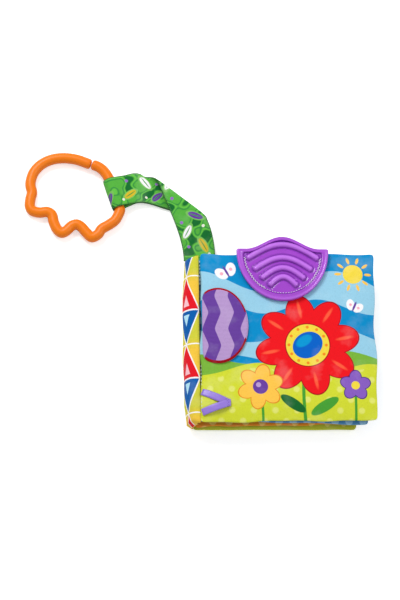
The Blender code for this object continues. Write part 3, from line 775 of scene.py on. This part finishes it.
def pad(name, left, width, height, thickness, middle, seed, materials, warp, full_left):
    """A sewn pad: two cloths over filling, drawn in along the seam by its stitches."""
    full = thickness / 2
    xs, ys = grid_lines(width), grid_lines(height)
    columns, rows = len(xs), len(ys)
    waves = [edge_waves(seed + side, 0.006, 0.016) for side in range(4)]
    slow = [edge_waves(seed + 10 + side, 0.030, 0.090, 5) for side in range(4)]

    def rise(inset):
        return SEAM_HALF * rounded(inset / SEAM_HALF) + crown(inset, full)

    vertices, index, faces, slots = [], {}, [], []
    for side in (1, -1):
        for row, v in enumerate(ys):
            for column, u in enumerate(xs):
                if side == -1 and (row in (0, rows - 1) or column in (0, columns - 1)):
                    index[side, row, column] = index[1, row, column]
                    continue
                x, y = u - width / 2, v - height / 2
                near_x, near_y = min(u, width - u), min(v, height - v)
                x, y = (corner_rounded(x, width / 2, y, height / 2),
                        corner_rounded(y, height / 2, x, width / 2))
                drawn = 0
                for edge, (inset, place) in enumerate(((u, v), (width - u, v), (v, u), (height - v, u))):
                    drawn += math.exp(-inset / WAVE_REACH) * waves[edge](place)
                    sway = math.exp(-inset / SWAY_REACH) * slow[edge](place) * SWAY
                    x, y = (x + sway, y) if edge < 2 else (x, y + sway)
                if full_left and u < width / 2:
                    near_x = near_x * SPINE_SIDE_STRETCH + SPINE_SIDE_STEP * min(near_x / SEAM_LINES[2], 1)
                nearest = min(near_x, near_y)
                z = rise(near_x) * rise(near_y) / full
                z -= PUCKER * (0.6 + drawn) * min(1, nearest / 0.0008) * math.exp(-nearest / PUCKER_REACH)
                share_u, share_v = u / width, v / height
                for (shift_x, shift_y), weight in zip(warp, (
                        (1 - share_u) * (1 - share_v), share_u * (1 - share_v),
                        share_u * share_v, (1 - share_u) * share_v)):
                    x += shift_x * weight
                    y += shift_y * weight
                index[side, row, column] = len(vertices)
                vertices.append((left + width / 2 + x, y, middle + side * (z if nearest else 0)))
    for side in (1, -1):
        for row in range(rows - 1):
            for column in range(columns - 1):
                quad = [index[side, row, column], index[side, row, column + 1],
                        index[side, row + 1, column + 1], index[side, row + 1, column]]
                faces.append(quad[::side])
                slots.append(0 if side == 1 else 1)
    made = piece(name, vertices, faces, materials)
    made.data.polygons.foreach_set("material_index", slots)
    limits = np.array([abs(vertex[2] - middle) for vertex in vertices])
    filled(made)
    places = read_points(made.data)
    room = np.minimum(limits + FILL_ROOM, full)
    places[:, 2] = middle + np.clip(places[:, 2] - middle, -room, room)
    write_points(made.data, places)
    return subdivided(made)


def build_pads():
    """Both covers and both leaves, each with the print on its top and the one below.

    The pairs are how far each corner is shifted, from the spine side's lower corner and round.
    """
    cover = ("outer", "wadding", "lining")
    leaf = ("front_panel", "crinkle_film", "wadding", "back_panel")
    back_size = (BACK_WIDTH, BACK_HEIGHT, COVER_THICKNESS)
    leaf_size = (LEAF_WIDTH, LEAF_HEIGHT, LEAF_THICKNESS)
    front_size = (FRONT_WIDTH, FRONT_HEIGHT, COVER_THICKNESS)
    for name, slot, nodes, left, size, middle, seed, materials, warp in (
            ("back_cover", "back_print", cover, BACK_LEFT, back_size, BACK_Z, 11,
             (dotted_print("back_lining_print", (198, 208, 60), (236, 232, 116), 0.013, 0.0020),
              dotted_print("back_print", (196, 206, 56), PALE_LIME, 0.017, 0.0026)),
             ((0, 0), (-0.0050, 0.0008), (-0.0020, 0), (0, 0))),
            ("leaf_2", "leaf_2_print", leaf, LEAF_2_LEFT, leaf_size, LEAF_2_Z, 22,
             (dotted_print("leaf_2_print", (238, 142, 40), (250, 196, 100), 0.013, 0.0030),
              striped_print("leaf_2_back_print", (112, 42, 26), (186, 92, 44))),
             ((0, -0.0008), (-0.0050, 0.0022), (-0.0020, 0), (0, 0))),
            ("leaf_1", "leaf_1_print", leaf, LEAF_1_LEFT, leaf_size, LEAF_1_Z, 33,
             (dotted_print("leaf_1_print", (84, 142, 186), (150, 192, 216), 0.011, 0.0030),
              striped_print("leaf_1_back_print", (40, 92, 126), (120, 168, 196))),
             ((0, 0.0030), (0.0004, 0.0002), (0, 0), (0, 0))),
            ("front_cover", "cover_print", cover, FRONT_LEFT, front_size, FRONT_Z, 44,
             (cover_print(), dotted_print("cover_lining_print", SKY, LIGHT_SKY, 0.014, 0.0020)),
             ((-0.0001, -0.0009), (0.0006, 0.0014), (0.0011, 0.0036), (0.0018, 0.0025)))):
        made = pad(name + "_pad", left, *size, middle, seed, materials, warp, name == "front_cover")
        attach(made, name)
        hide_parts(*[f"{name}_{node}" for node in nodes])


# Flap, spine and ribbon

FLAP_EDGE = 0.0030
FLAP_CENTRE = (FRONT_LEFT + 0.0154, 0.0095)
FLAP_HALF_WIDTH = 0.0240
FLAP_HALF_HEIGHT = 0.0315
FLAP_RINGS = 16
FLAP_STEPS = 110
FLAP_SEAM_STEPS = 24
FLAP_CORNER_PASSES = 12
FLAP_RIM_ROUND = 0.0011
FLAP_SWELL = 0.0010
FLAP_PUCKER = 0.00022
FLAP_BORDER_SHARE = 0.938

SPINE_STATIONS = 72
SPINE_ARC = 30
SPINE_GAP = 0.00015
SPINE_END_ROUND = 0.0022
SPINE_BULGE = 0.0072
SPINE_SHOULDER = 0.0016
SPINE_INSIDE = 0.0003
SPINE_LAP = 0.0009
SPINE_LAP_STEPS = 6
SPINE_LAP_PUFF = 0.0007
SPINE_END_HOLD = 0.0030
SPINE_STITCH_ASIDE = 0.0017
SPINE_STITCH_PITCH = 0.0030
SPINE_STITCH = 0.0019
UNSTITCHED = ((-0.024, 0.043), (-0.0495, -0.0400), (-0.0665, -0.0570))


def rim_height(tree, x, y):
    """The front cover's top at a place, or its seam's height beside it."""
    hit = tree.ray_cast(Vector((x, y, 1)), -UP)[0]
    return max(hit.z, FRONT_Z) if hit else FRONT_Z


def front_cover_tree():
    """The front cover's surface, to lay pieces on."""
    cover = bpy.data.objects["front_cover_pad"].data
    return BVHTree.FromPolygons([vertex.co for vertex in cover.vertices],
                                [tuple(face.vertices) for face in cover.polygons])


def build_spine_seam():
    """Short stitches along the front cover's seam, clear of the flap and the ribbon."""
    tree = front_cover_tree()
    x = FRONT_LEFT + SPINE_STITCH_ASIDE
    rows = []
    for step in range(-22, 22):
        y = step * SPINE_STITCH_PITCH
        if not any(low < y < high for low, high in UNSTITCHED):
            rows.append((Vector((x, y, 0)), Vector((x + 0.0001, y + SPINE_STITCH, 0))))
    made = stitches("spine_seam_stitches", rows, lambda place: rim_height(tree, place.x, place.y),
                    0.00024, thread_material("pale_thread", (206, 222, 226)))
    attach(made, "front_cover")


def spine_arc(y, closing, bulge, waves):
    """The spine's outer side across one place: share of its height and distance outwards."""
    beside_flap = math.exp(-((y - FLAP_CENTRE[1]) / (FLAP_HALF_HEIGHT + 0.002)) ** 4)
    arc = []
    for step in range(SPINE_ARC + 1):
        turn = HALF_TURN * step / SPINE_ARC
        share = (1 + math.cos(turn)) / 2
        puffed = abs(math.sin(turn)) ** 0.62
        drawn = 0.0012 * waves(y + share * 0.02) * puffed * (1 - puffed)
        off = (SEAM_HALF + SPINE_GAP + SPINE_SHOULDER * min(1, puffed * 3) * closing
               + (bulge + drawn) * puffed * (0.35 + 0.65 * closing))
        arc.append((share, off - min(off, SPINE_SHOULDER) * beside_flap * max(0, 2.2 * share - 1.2)))
    return arc


def build_spine():
    """The padded spine, one printed cloth round its filling, lapped on to both covers' rims."""
    tree = front_cover_tree()
    foot = Vector((BACK_LEFT + SEAM_HALF, 0, BACK_Z))
    rise = Vector((SPINE_LEAN, 0, SPINE_TALL))
    outward = Vector((-SPINE_TALL, 0, SPINE_LEAN)).normalized()
    inside = [(step / 6, SEAM_HALF + SPINE_GAP + SPINE_INSIDE) for step in range(1, 6)]
    hem = [Vector((BACK_LEFT + 0.0010, 0, BACK_Z + 0.0002)),
           Vector((BACK_LEFT + 0.0011, 0, BACK_Z + 0.0008))]
    waves, slow = edge_waves(71, 0.007, 0.018), edge_waves(72, 0.030, 0.070)
    tip_x = FRONT_LEFT + SPINE_LAP
    end_y = FRONT_HEIGHT / 2 - SPINE_END_HOLD
    vertices, places = [], []
    for station in range(SPINE_STATIONS + 1):
        along = 2 * station / SPINE_STATIONS - 1
        y = along * SPINE_LENGTH / 2
        closing = rounded((1 - abs(along)) * SPINE_LENGTH / 2 / SPINE_END_ROUND)
        bulge = SPINE_BULGE * (1 - 0.38 * abs(along) ** 3) + 0.0004 * slow(y)
        points = [foot + rise * (0.5 + (share - 0.5) * (0.9 + 0.1 * closing)) + outward * off
                  for share, off in spine_arc(y, closing, bulge, waves) + inside]
        points = points[3:SPINE_ARC + 1] + hem + points[SPINE_ARC + 1:]
        top = rim_height(tree, tip_x, max(min(y, end_y), -end_y)) - FRONT_Z
        tip_z = FRONT_Z + top * (0.3 + 0.7 * closing)
        tip = Vector((tip_x, 0, tip_z + 0.0004))
        lap = [tip.lerp(points[0], step / SPINE_LAP_STEPS)
               + UP * (SPINE_LAP_PUFF * math.sin(HALF_TURN * step / SPINE_LAP_STEPS) * closing)
               for step in range(SPINE_LAP_STEPS)]
        under = [Vector((FRONT_LEFT - 0.0010, 0, FRONT_Z - 0.0012)),
                 Vector((FRONT_LEFT - 0.0009, 0, FRONT_Z + 0.0004)), Vector((tip_x, 0, tip_z + 0.0001))]
        section = lap + points + under
        run = -0.0008
        for before, point in zip(section[:1] + section, section):
            run += (point - before).length
            vertices.append((point.x, y, point.z))
            places.append((run, y))
    made = piece("spine_pad", vertices, tube_faces(SPINE_STATIONS + 1, len(section)), [harlequin_print()])
    set_uv(made, places)
    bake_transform(made)
    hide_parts("spine_panel", "spine_wadding", "spine_lining")


def flap_outline():
    """The flap's edge: most of an oval, straight at its seam, with round corners."""
    edge_x = FRONT_LEFT + FLAP_EDGE
    cut = math.acos((edge_x - FLAP_CENTRE[0]) / FLAP_HALF_WIDTH)
    angles = [cut * (2 * step / (FLAP_STEPS - 1) - 1) for step in range(FLAP_STEPS)]
    outline = [(FLAP_CENTRE[0] + FLAP_HALF_WIDTH * math.cos(angle),
                FLAP_CENTRE[1] + FLAP_HALF_HEIGHT * math.sin(angle)) for angle in angles]
    top, low = outline[-1][1], outline[0][1]
    outline += [(edge_x, top + (low - top) * step / FLAP_SEAM_STEPS) for step in range(1, FLAP_SEAM_STEPS)]
    for _ in range(FLAP_CORNER_PASSES):
        before, after = outline[-1:] + outline[:-1], outline[1:] + outline[:1]
        outline = [((a[0] + 2 * b[0] + c[0]) / 4, (a[1] + 2 * b[1] + c[1]) / 4)
                   for a, b, c in zip(before, outline, after)]
    return outline


def build_flap():
    """Two cloths sewn round an oval, softly filled, with a dark red edge."""
    outline = flap_outline()
    count = len(outline)
    waves = edge_waves(81, 0.010, 0.024)
    lift = PLAY + 0.0001
    thick = 2 * CLOTH + PLAY
    shares = [1 - 0.03 * step for step in range(5)] + [0.84 - 0.84 * step / FLAP_RINGS
                                                       for step in range(1, FLAP_RINGS)]
    vertices = []
    for side in (-1, 1):
        for share in shares[::side]:
            inset = (1 - share) * FLAP_HALF_WIDTH
            edge = rounded(inset / FLAP_RIM_ROUND)
            for number, place in enumerate(outline):
                x, y = towards(FLAP_CENTRE, place, share)
                height = thick / 2 * (1 + side * edge)
                if side == 1:
                    height += FLAP_SWELL * (1 - share ** 2)
                    height += FLAP_PUCKER * waves(number * 0.0016) * math.exp(-inset / 0.004) * edge
                vertices.append((x, y, cover_top(x, y) + lift + height))
    middle = len(vertices)
    for height in (0, thick + FLAP_SWELL):
        vertices.append((*FLAP_CENTRE, cover_top(*FLAP_CENTRE) + lift + height))
    faces = ring_faces(2 * len(shares), count)
    faces += [face[::-1] for face in fan_faces(middle, 0, count)]
    faces += fan_faces(middle + 1, middle - count, count)
    made = piece("flap_pad", vertices, faces, [wavy_print(), plain_cloth("flap_edge", DARK_RED)])
    slots = []
    for polygon in made.data.polygons:
        x, y = polygon.center[:2]
        share = math.hypot((x - FLAP_CENTRE[0]) / FLAP_HALF_WIDTH, (y - FLAP_CENTRE[1]) / FLAP_HALF_HEIGHT)
        steep = abs(y - FLAP_CENTRE[1]) > 0.35 * FLAP_HALF_HEIGHT
        under = polygon.index < count * len(shares)
        slots.append(1 if under or (share > FLAP_BORDER_SHARE and steep) else 0)
    made.data.polygons.foreach_set("material_index", slots)
    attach(made, "flap")
    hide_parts("flap_face", "flap_backing")


RIBBON_WIDTH = 0.0058
RIBBON_THICKNESS = 0.0005
RIBBON_TIP = Vector((FRONT_LEFT + 0.0236, -0.0540, 0))
RIBBON_ENDS = (Vector((FRONT_LEFT + 0.0020, -0.0444, 0)), Vector((FRONT_LEFT + 0.0020, -0.0615, 0)))
RIBBON_STEPS = 14
RIBBON_FOLD_STEPS = 8
RIBBON_ARCH = 0.0009
RIBBON_LIFT = 0.0002
TACK_PITCH = 0.0011
STITCH_ARCH = 0.00012


def band(name, stations, width, thickness, material, columns):
    """A closed flat band along stations of centre, direction across and normal, with its UVs."""
    vertices, places = [], []
    run, before = 0.0, stations[0][0]
    for (centre, across, normal), heading in zip(stations, headings([station[0] for station in stations])):
        run += (centre - before).length
        before = centre
        slant = across.dot(heading)
        for face in (1, -1):
            for step in range(columns + 1):
                place = (step / columns - 0.5) * face
                rounding = math.sqrt(max(1 - abs(2 * place) ** 8, 0.04))
                vertices.append(centre + across * (place * width)
                                + normal * (face * thickness / 2 * rounding))
                places.append((place * width, run + place * width * slant))
    made = piece(name, vertices, tube_faces(len(stations), 2 * (columns + 1)), [material])
    set_uv(made, places)
    return made


def stitches(name, rows, height, radius, material):
    """Thread between pairs of points, each stitch a short rounded tube that dips at its ends."""
    vertices, faces = [], []
    for start, end in rows:
        side = (end - start).normalized().cross(UP)
        faces += tube_faces(6, 6, len(vertices))
        for step in range(6):
            share = step / 5
            swell = radius * math.sqrt(max(1 - (2 * share - 1) ** 4, 0.05))
            centre = start.lerp(end, share)
            base = height(centre) if callable(height) else height
            centre.z = base + STITCH_ARCH * math.sin(HALF_TURN * share)
            for corner in range(6):
                turn = FULL_TURN * corner / 6
                vertices.append(centre + side * (swell * math.cos(turn)) + UP * (swell * math.sin(turn)))
    return piece(name, vertices, faces, [material])


def build_ribbon():
    """A satin loop: two legs from the seam, folded over at the tip and tacked down."""
    half = RIBBON_THICKNESS / 2
    fold = half + PLAY / 2 + half
    tip_height = cover_top(*RIBBON_TIP.xy) + PLAY + half
    legs = []
    for number, end in enumerate(RIBBON_ENDS):
        across_leg = UP.cross(RIBBON_TIP - end).normalized()
        leg = []
        for step in range(RIBBON_STEPS + 1):
            share = step / RIBBON_STEPS
            centre = end.lerp(RIBBON_TIP, share)
            across = across_leg.lerp(Vector((0, 1, 0)), share ** 3).normalized()
            lift = 2 * fold * number * min(2 * share, 1) + RIBBON_ARCH * math.sin(HALF_TURN * share)
            centre.z = cover_top(centre.x, centre.y) + PLAY + half + lift + RIBBON_LIFT
            leg.append((centre, across, UP))
        legs.append(leg)
    stations = legs[0]
    for step in range(1, RIBBON_FOLD_STEPS):
        angle = HALF_TURN * step / RIBBON_FOLD_STEPS
        outward = Vector((math.sin(angle), 0, -math.cos(angle)))
        centre = RIBBON_TIP + UP * (tip_height + fold + RIBBON_LIFT) + outward * fold
        stations.append((centre, Vector((0, 1, 0)), -outward))
    stations += [(centre, across, -normal) for centre, across, normal in reversed(legs[1])]
    made = band("ribbon_loop", stations, RIBBON_WIDTH, RIBBON_THICKNESS, satin(), 6)
    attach(made, "front_cover")
    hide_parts("ribbon_tab")
    rows = []
    for way in (-1, 1):
        for step in range(5):
            start = RIBBON_TIP + Vector((TACK_PITCH * (step % 2) - 0.0030,
                                         way * 0.0003 + (step - 2) * TACK_PITCH, 0))
            rows.append((start, start + Vector((0.0016, way * TACK_PITCH, 0))))
    tacks = stitches("ribbon_tacks", rows, tip_height + 2 * fold + half + RIBBON_LIFT, 0.00016,
                     thread_material("violet_thread", (96, 66, 168)))
    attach(tacks, "front_cover")


# Teether

TEETHER_X = FRONT_LEFT + 0.0675
TEETHER_TIP_Y = FRONT_HEIGHT / 2 + 0.0044
TEETHER_HALF_WIDTH = 0.0367
TEETHER_DROP = 0.0436
TEETHER_PEAK = 0.0103
TEETHER_TIP = 0.0015
TEETHER_EDGE = 0.0013
TEETHER_DIP = 0.0003
TEETHER_BOTTOM = FRONT_Z + COVER_THICKNESS / 2 + PLAY
TEETHER_FIELD = TEETHER_BOTTOM + 0.0022
TEETHER_RIM = TEETHER_FIELD + 0.0014
TEETHER_RIM_SIDE = 0.0056
TEETHER_RIM_TOP = 0.0034
TEETHER_MIDDLE = (TEETHER_X, TEETHER_TIP_Y - 0.0130)
TEETHER_TOP_STEPS = 84
TEETHER_BOWL_STEPS = 132
TEETHER_DEPTH_STEPS = 90
RIBS = ((0.0270, 0.0110, 0.0074), (0.0217, 0.0092, 0.0166), (0.0160, 0.0080, 0.0239),
        (0.0100, 0.0062, 0.0297))
RIB_HALF_WIDTH = 0.0023
RIB_HEIGHT = 0.0022
RIB_GROOVE = 0.0016
SEAM_INSET = 0.0009
ZIGZAG = 0.0009
ZIGZAG_FROM = 0.0165


def quarter(steps):
    """Angles from 0 to a quarter turn."""
    return [HALF_TURN / 2 * step / steps for step in range(steps + 1)]


def teether_outline(side, top):
    """The teether's outline moved in: a bell-shaped top over half an ellipse, round tips."""
    tip_y = TEETHER_TIP_Y - top
    low_y = tip_y - TEETHER_TIP
    half_width = TEETHER_HALF_WIDTH - side
    shoulder = half_width - TEETHER_TIP
    drop = TEETHER_DROP - TEETHER_TIP - side - top

    def tip(middle, steps):
        return [(middle + TEETHER_TIP * math.cos(HALF_TURN * step / 16),
                 low_y + TEETHER_TIP * math.sin(HALF_TURN * step / 16)) for step in steps]

    points = tip(shoulder, range(8))
    for step in range(TEETHER_TOP_STEPS + 1):
        x = shoulder * (1 - 2 * step / TEETHER_TOP_STEPS)
        spread = min(abs(x) / (TEETHER_HALF_WIDTH * 0.8), 1)
        points.append((x, tip_y + TEETHER_PEAK * (1 + math.cos(HALF_TURN * spread)) / 2))
    points += tip(-shoulder, range(9, 16))
    for step in range(TEETHER_BOWL_STEPS):
        angle = HALF_TURN * (1 + step / TEETHER_BOWL_STEPS)
        points.append((half_width * math.cos(angle), low_y + drop * math.sin(angle)))
    return [(TEETHER_X + x, y) for x, y in points]


def rib_relief(x, y):
    """Height over the teether's field, and how much painted highlight and painted shade its moulding gets
    there: lighter on the ribs, darker in the grooves.
    """
    nearest = 1.0
    for half_span, rise, drop in RIBS:
        share = (x - TEETHER_X) / half_span
        above = y - TEETHER_TIP_Y + drop
        if abs(share) <= 1:
            bend = HALF_TURN / 2 * share
            slope = rise * HALF_TURN / 2 * math.sin(bend) / half_span
            away = abs(above - rise * math.cos(bend)) / math.hypot(1, slope)
        else:
            away = math.hypot((abs(share) - 1) * half_span, above)
        nearest = min(nearest, away)
    if nearest < RIB_HALF_WIDTH:
        raised = math.sqrt(1 - (nearest / RIB_HALF_WIDTH) ** 2)
        return RIB_HEIGHT * raised, raised, 0.0
    beyond = min((nearest - RIB_HALF_WIDTH) / RIB_GROOVE, 1)
    return -TEETHER_DIP * math.sin(HALF_TURN * beyond), 0.0, 1 - beyond ** 2


def teether_rings():
    """The rim's outlines as inset, height, painted highlight share and painted shade share."""
    edge, inside = TEETHER_EDGE, TEETHER_RIM_SIDE - TEETHER_EDGE
    rings = [(edge * (1 - math.sin(angle)), TEETHER_BOTTOM + edge * (1 - math.cos(angle)), 0, 0.3)
             for angle in quarter(3)]
    rings += [(edge * (1 - math.cos(angle)), TEETHER_RIM - edge * (1 - math.sin(angle)),
               0.5 * math.sin(angle), 0) for angle in quarter(6)]
    rings += [(edge + share * (inside - edge), TEETHER_RIM - TEETHER_DIP * math.sin(HALF_TURN * share),
               0.45 - 0.35 * share, 0) for share in (0.2, 0.4, 0.6, 0.8)]
    rings += [(inside + edge * math.sin(angle),
               TEETHER_FIELD + (TEETHER_RIM - TEETHER_FIELD) * math.cos(angle) ** 0.8,
               0.1 * math.cos(angle), math.sin(angle) ** 2) for angle in quarter(6)]
    return rings


def teether_seam():
    """Stitches along the bowl: a wide zigzag at the sides, a plain row along the bottom."""
    outline = teether_outline(TEETHER_RIM_SIDE + SEAM_INSET, TEETHER_RIM_TOP + SEAM_INSET)
    line = [Vector((*place, 0)) for place in outline[-TEETHER_BOWL_STEPS:]]
    random = np.random.default_rng(5)
    rows = []
    for start, end, following in zip(line[2:-4:3], line[4::3], line[5::3]):
        across = (end - start).normalized().cross(UP)
        if abs(start.x - TEETHER_X) > ZIGZAG_FROM:
            start = start + across * (ZIGZAG + random.uniform(-0.0003, 0.0003))
            end = end - across * (ZIGZAG + random.uniform(-0.0003, 0.0003))
            rows += [(start, end), (end, following + across * 0.0008)]
        else:
            rows.append((start, end))
    return rows


def build_teether():
    """A moulded plate with a rounded rim and four arched ribs, sewn down along its bowl."""
    vertices, shades = [], []

    def field_point(x, y, shade):
        height, raised, hollow_shade = rib_relief(x, y)
        vertices.append((x, y, TEETHER_FIELD + height))
        shades.append((raised, max(hollow_shade, shade)))

    for inset, height, raised, hollow_shade in teether_rings():
        outline = teether_outline(inset, inset * TEETHER_RIM_TOP / TEETHER_RIM_SIDE)
        vertices += [(x, y, height) for x, y in outline]
        shades += [(raised, hollow_shade)] * len(outline)
    inner = teether_outline(TEETHER_RIM_SIDE, TEETHER_RIM_TOP)
    for step in range(1, TEETHER_DEPTH_STEPS):
        share = 1 - step / TEETHER_DEPTH_STEPS
        # Painted shade in the field along the foot of the rim.
        shade = 0.9 * math.exp(-(1 - share) * 0.025 / 0.0008)
        for place in inner:
            field_point(*towards(TEETHER_MIDDLE, place, share), shade)
    count, centre = len(inner), len(vertices)
    field_point(*TEETHER_MIDDLE, 0)
    faces = ring_faces(centre // count, count) + [tuple(reversed(range(count)))]
    faces += fan_faces(centre, centre - count, count)
    # The darker colour is both the plastic's uneven tone and painted shade in its dips; the lighter one is
    # painted highlight on raised parts.
    purple = moulded("teether_plastic", (156, 58, 196), (108, 22, 154), (196, 116, 234),
                     Roughness=0.28)
    made = piece("teether_moulding", vertices, faces, [purple])
    set_uv(made, shades)
    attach(made, "front_cover")
    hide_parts("teether")
    thread = stitches("teether_stitches", teether_seam(), TEETHER_FIELD + 0.0003, 0.00030,
                      thread_material("white_thread", (226, 206, 240)))
    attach(thread, "front_cover")


# Strap and link

STRAP_MERGE = 0.0135
STRAP_ROOT = (BACK_LEFT + 0.0080, BACK_HEIGHT / 2 + PLAY)
STRAP_REACH = (-0.0682, 0.0559)
STRAP_HALF = STRAP_CLOTH + PLAY / 2
STRAP_LOOP_MEET = math.radians(65)
STRAP_FOLD = (0.273, 0.943)  # shares of the reach
STRAP_FOLD_RADIUS = 0.0030
STRAP_CREASE = math.radians(141.6)
STRAP_CREASE_ANGLE = math.radians(31.0)
STRAP_ROOT_STEPS = 44
STRAP_FOLD_STEPS = 24
STRAP_TAIL_STEPS = 36
STRAP_LOOP_STEPS = 40


def plan_direction(angle):
    """A level direction at an angle from +X."""
    return Vector((math.cos(angle), math.sin(angle), 0))


def plan_curve(start, start_angle, end, end_angle, t):
    """A place and its direction on a level curve that leaves and arrives at two angles."""
    reach = (end - start).length
    leave = plan_direction(start_angle) * reach
    arrive = plan_direction(end_angle) * reach
    place = (start * (2 * t ** 3 - 3 * t ** 2 + 1) + leave * (t ** 3 - 2 * t ** 2 + t)
             + end * (3 * t ** 2 - 2 * t ** 3) + arrive * (t ** 3 - t ** 2))
    along = ((start - end) * (6 * t ** 2 - 6 * t) + leave * (3 * t ** 2 - 4 * t + 1)
             + arrive * (3 * t ** 2 - 2 * t))
    return place, along.normalized()


def eased(share):
    """From 0 to 1, level at both ends."""
    return share * share * (3 - 2 * share)


def strap_stations():
    """The strap's middle line: centre, direction across and normal, from the root to the loop.

    The directions across turn until they lie along the crease where the strap folds over itself.
    """
    root = Vector((*STRAP_ROOT, 0))
    middle = root + Vector((STRAP_FOLD[0] * STRAP_REACH[0], STRAP_FOLD[1] * STRAP_REACH[1], 0))
    merge = Vector((LOOP.x, LOOP.y, 0)) + plan_direction(STRAP_HEADING) * STRAP_MERGE
    crease = plan_direction(STRAP_CREASE)
    outward = plan_direction(STRAP_CREASE - HALF_TURN / 2)
    slant = 1 / math.tan(STRAP_CREASE_ANGLE)
    half_advance = crease * (HALF_TURN * STRAP_FOLD_RADIUS * slant / 2)
    low = STRAP_HALF + PLAY
    high = low + 2 * STRAP_FOLD_RADIUS
    places = []
    for step in range(STRAP_ROOT_STEPS):
        share = step / STRAP_ROOT_STEPS
        place, along = plan_curve(root, HALF_TURN / 2, middle - half_advance,
                                  STRAP_CREASE - STRAP_CREASE_ANGLE, share)
        places.append((place + UP * (BACK_Z + (high - BACK_Z) * eased(share)),
                       along.cross(UP) - along * slant * share))
    for step in range(STRAP_FOLD_STEPS):
        share = step / STRAP_FOLD_STEPS
        radial = outward * math.sin(HALF_TURN * share) + UP * math.cos(HALF_TURN * share)
        axis_point = middle + half_advance * (2 * share - 1) + UP * (low + STRAP_FOLD_RADIUS)
        places.append((axis_point + radial * STRAP_FOLD_RADIUS, -crease / math.sin(STRAP_CREASE_ANGLE)))
    for step in range(STRAP_TAIL_STEPS + 1):
        share = step / STRAP_TAIL_STEPS
        place, along = plan_curve(middle + half_advance, STRAP_CREASE + STRAP_CREASE_ANGLE,
                                  merge, HALF_TURN + STRAP_HEADING, share)
        places.append((place + UP * (low + (LOOP.z - low) * eased(max(share - 0.3, 0) / 0.7)),
                       UP.cross(along) - along * slant * (1 - share ** 1.4)))
    tangents = headings([centre for centre, across in places])
    tangents[0].z = tangents[-1].z = 0
    return [(centre, across, across.cross(tangent).normalized())
            for (centre, across), tangent in zip(places, tangents)]


def build_strap():
    """The printed tape: out from the seam, folded over, round the link and back on itself."""
    stations = strap_stations()
    apart = (STRAP_CLOTH + PLAY) / 2
    radius = LINK_RADIUS + 0.0005 + STRAP_CLOTH / 2
    whole = [(centre - normal * apart, across, -normal) for centre, across, normal in stations]
    last_centre, across, normal = stations[-1]
    back = (last_centre - LOOP).normalized()
    for step in range(STRAP_LOOP_STEPS + 1):
        angle = STRAP_LOOP_MEET + (FULL_TURN - 2 * STRAP_LOOP_MEET) * step / STRAP_LOOP_STEPS
        radial = back * math.cos(angle) - normal * math.sin(angle)
        whole.append((LOOP + radial * radius, across, radial))
    whole += [(centre + normal * apart, across, normal) for centre, across, normal in reversed(stations)]
    cut = sum((b[0] - a[0]).length for a, b in zip(whole, whole[1:]))
    made = band("strap_tape", whole, STRAP_WIDTH, STRAP_CLOTH, strap_print(), 12)
    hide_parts("strap_band")
    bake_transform(made)


# Shares of the reach away from the strap and of the height along the strap's loop
LINK_ARM = ((0.010, 0.240), (0.034, 0.304), (0.068, 0.354), (0.110, 0.389))
LINK_BOW = (
    (0.010, -0.212), (0.090, -0.288), (0.178, -0.320), (0.280, -0.343), (0.342, -0.389),
    (0.424, -0.400), (0.468, -0.330), (0.498, -0.258), (0.540, -0.210), (0.606, -0.208),
    (0.680, -0.242), (0.745, -0.249), (0.784, -0.190), (0.792, -0.105), (0.784, -0.022),
    (0.828, 0.030), (0.910, 0.047), (0.982, 0.088), (0.998, 0.150), (0.966, 0.226),
    (0.922, 0.295), (0.914, 0.372), (0.884, 0.440), (0.818, 0.518), (0.708, 0.577),
    (0.572, 0.597), (0.428, 0.573), (0.290, 0.512), (0.172, 0.426),
)
LINK_STEPS = 8
LINK_SIDES = 28
LINK_END_ROUND = 0.0022


def link_route():
    """The link's centre line in its own plane: x away from the strap, y along the strap's loop."""
    straight = STRAP_WIDTH / 2 + 0.0005
    legs = []
    for way, shares in ((1, LINK_ARM), (-1, LINK_BOW)):
        leg = [(0, way * (straight - LINK_RADIUS)), (0, way * straight)]
        leg += [(across * LINK_REACH, along * LINK_HEIGHT) for across, along in shares]
        beyond = tuple(2 * end - before for before, end in zip(*leg[-2:]))
        legs.append(smooth_route(leg + [beyond], LINK_STEPS))
    return [Vector((x, y, 0)) for x, y in legs[0][::-1] + legs[1]]


def build_link():
    """The open link: a smooth moulded bar with rounded ends."""
    route = link_route()
    sections = []
    for index, (centre, tangent) in enumerate(zip(route, headings(route))):
        stages = [(0.0, LINK_RADIUS)]
        if index in (0, len(route) - 1):
            reach = LINK_END_ROUND if index else -LINK_END_ROUND
            stages += [(reach * math.sin(turn), LINK_RADIUS - LINK_END_ROUND * (1 - math.cos(turn)))
                       for turn in quarter(6)[1:]]
        for along, radius in sorted(stages):
            sections.append((centre + tangent * along, UP.cross(tangent), radius))
    tilt = math.asin((LOOP.z - LINK_RADIUS) / max(point.x for point in route))
    lay = (Matrix.Translation(LOOP) @ Matrix.Rotation(HALF_TURN + STRAP_HEADING, 4, "Z")
           @ Matrix.Rotation(tilt, 4, "Y"))
    vertices = []
    for centre, across, radius in sections:
        for side in range(LINK_SIDES):
            turn = FULL_TURN * side / LINK_SIDES
            x, y, z = centre + (across * math.cos(turn) + UP * math.sin(turn)) * radius
            vertices.append(lay @ Vector((x, -y, z)))
    faces = [face[::-1] for face in tube_faces(len(sections), LINK_SIDES)]
    orange = moulded("link_plastic", (234, 120, 0), (228, 92, 0), Roughness=0.38, Coat_Weight=0.0,
                     Specular_IOR_Level=0.3)
    made = piece("link_tube", vertices, faces, [orange])
    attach(made, "link")
    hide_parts("link_ring")


set_scene()
build_pads()
build_spine()
build_spine_seam()
build_flap()
build_ribbon()
build_teether()
build_link()
build_strap()
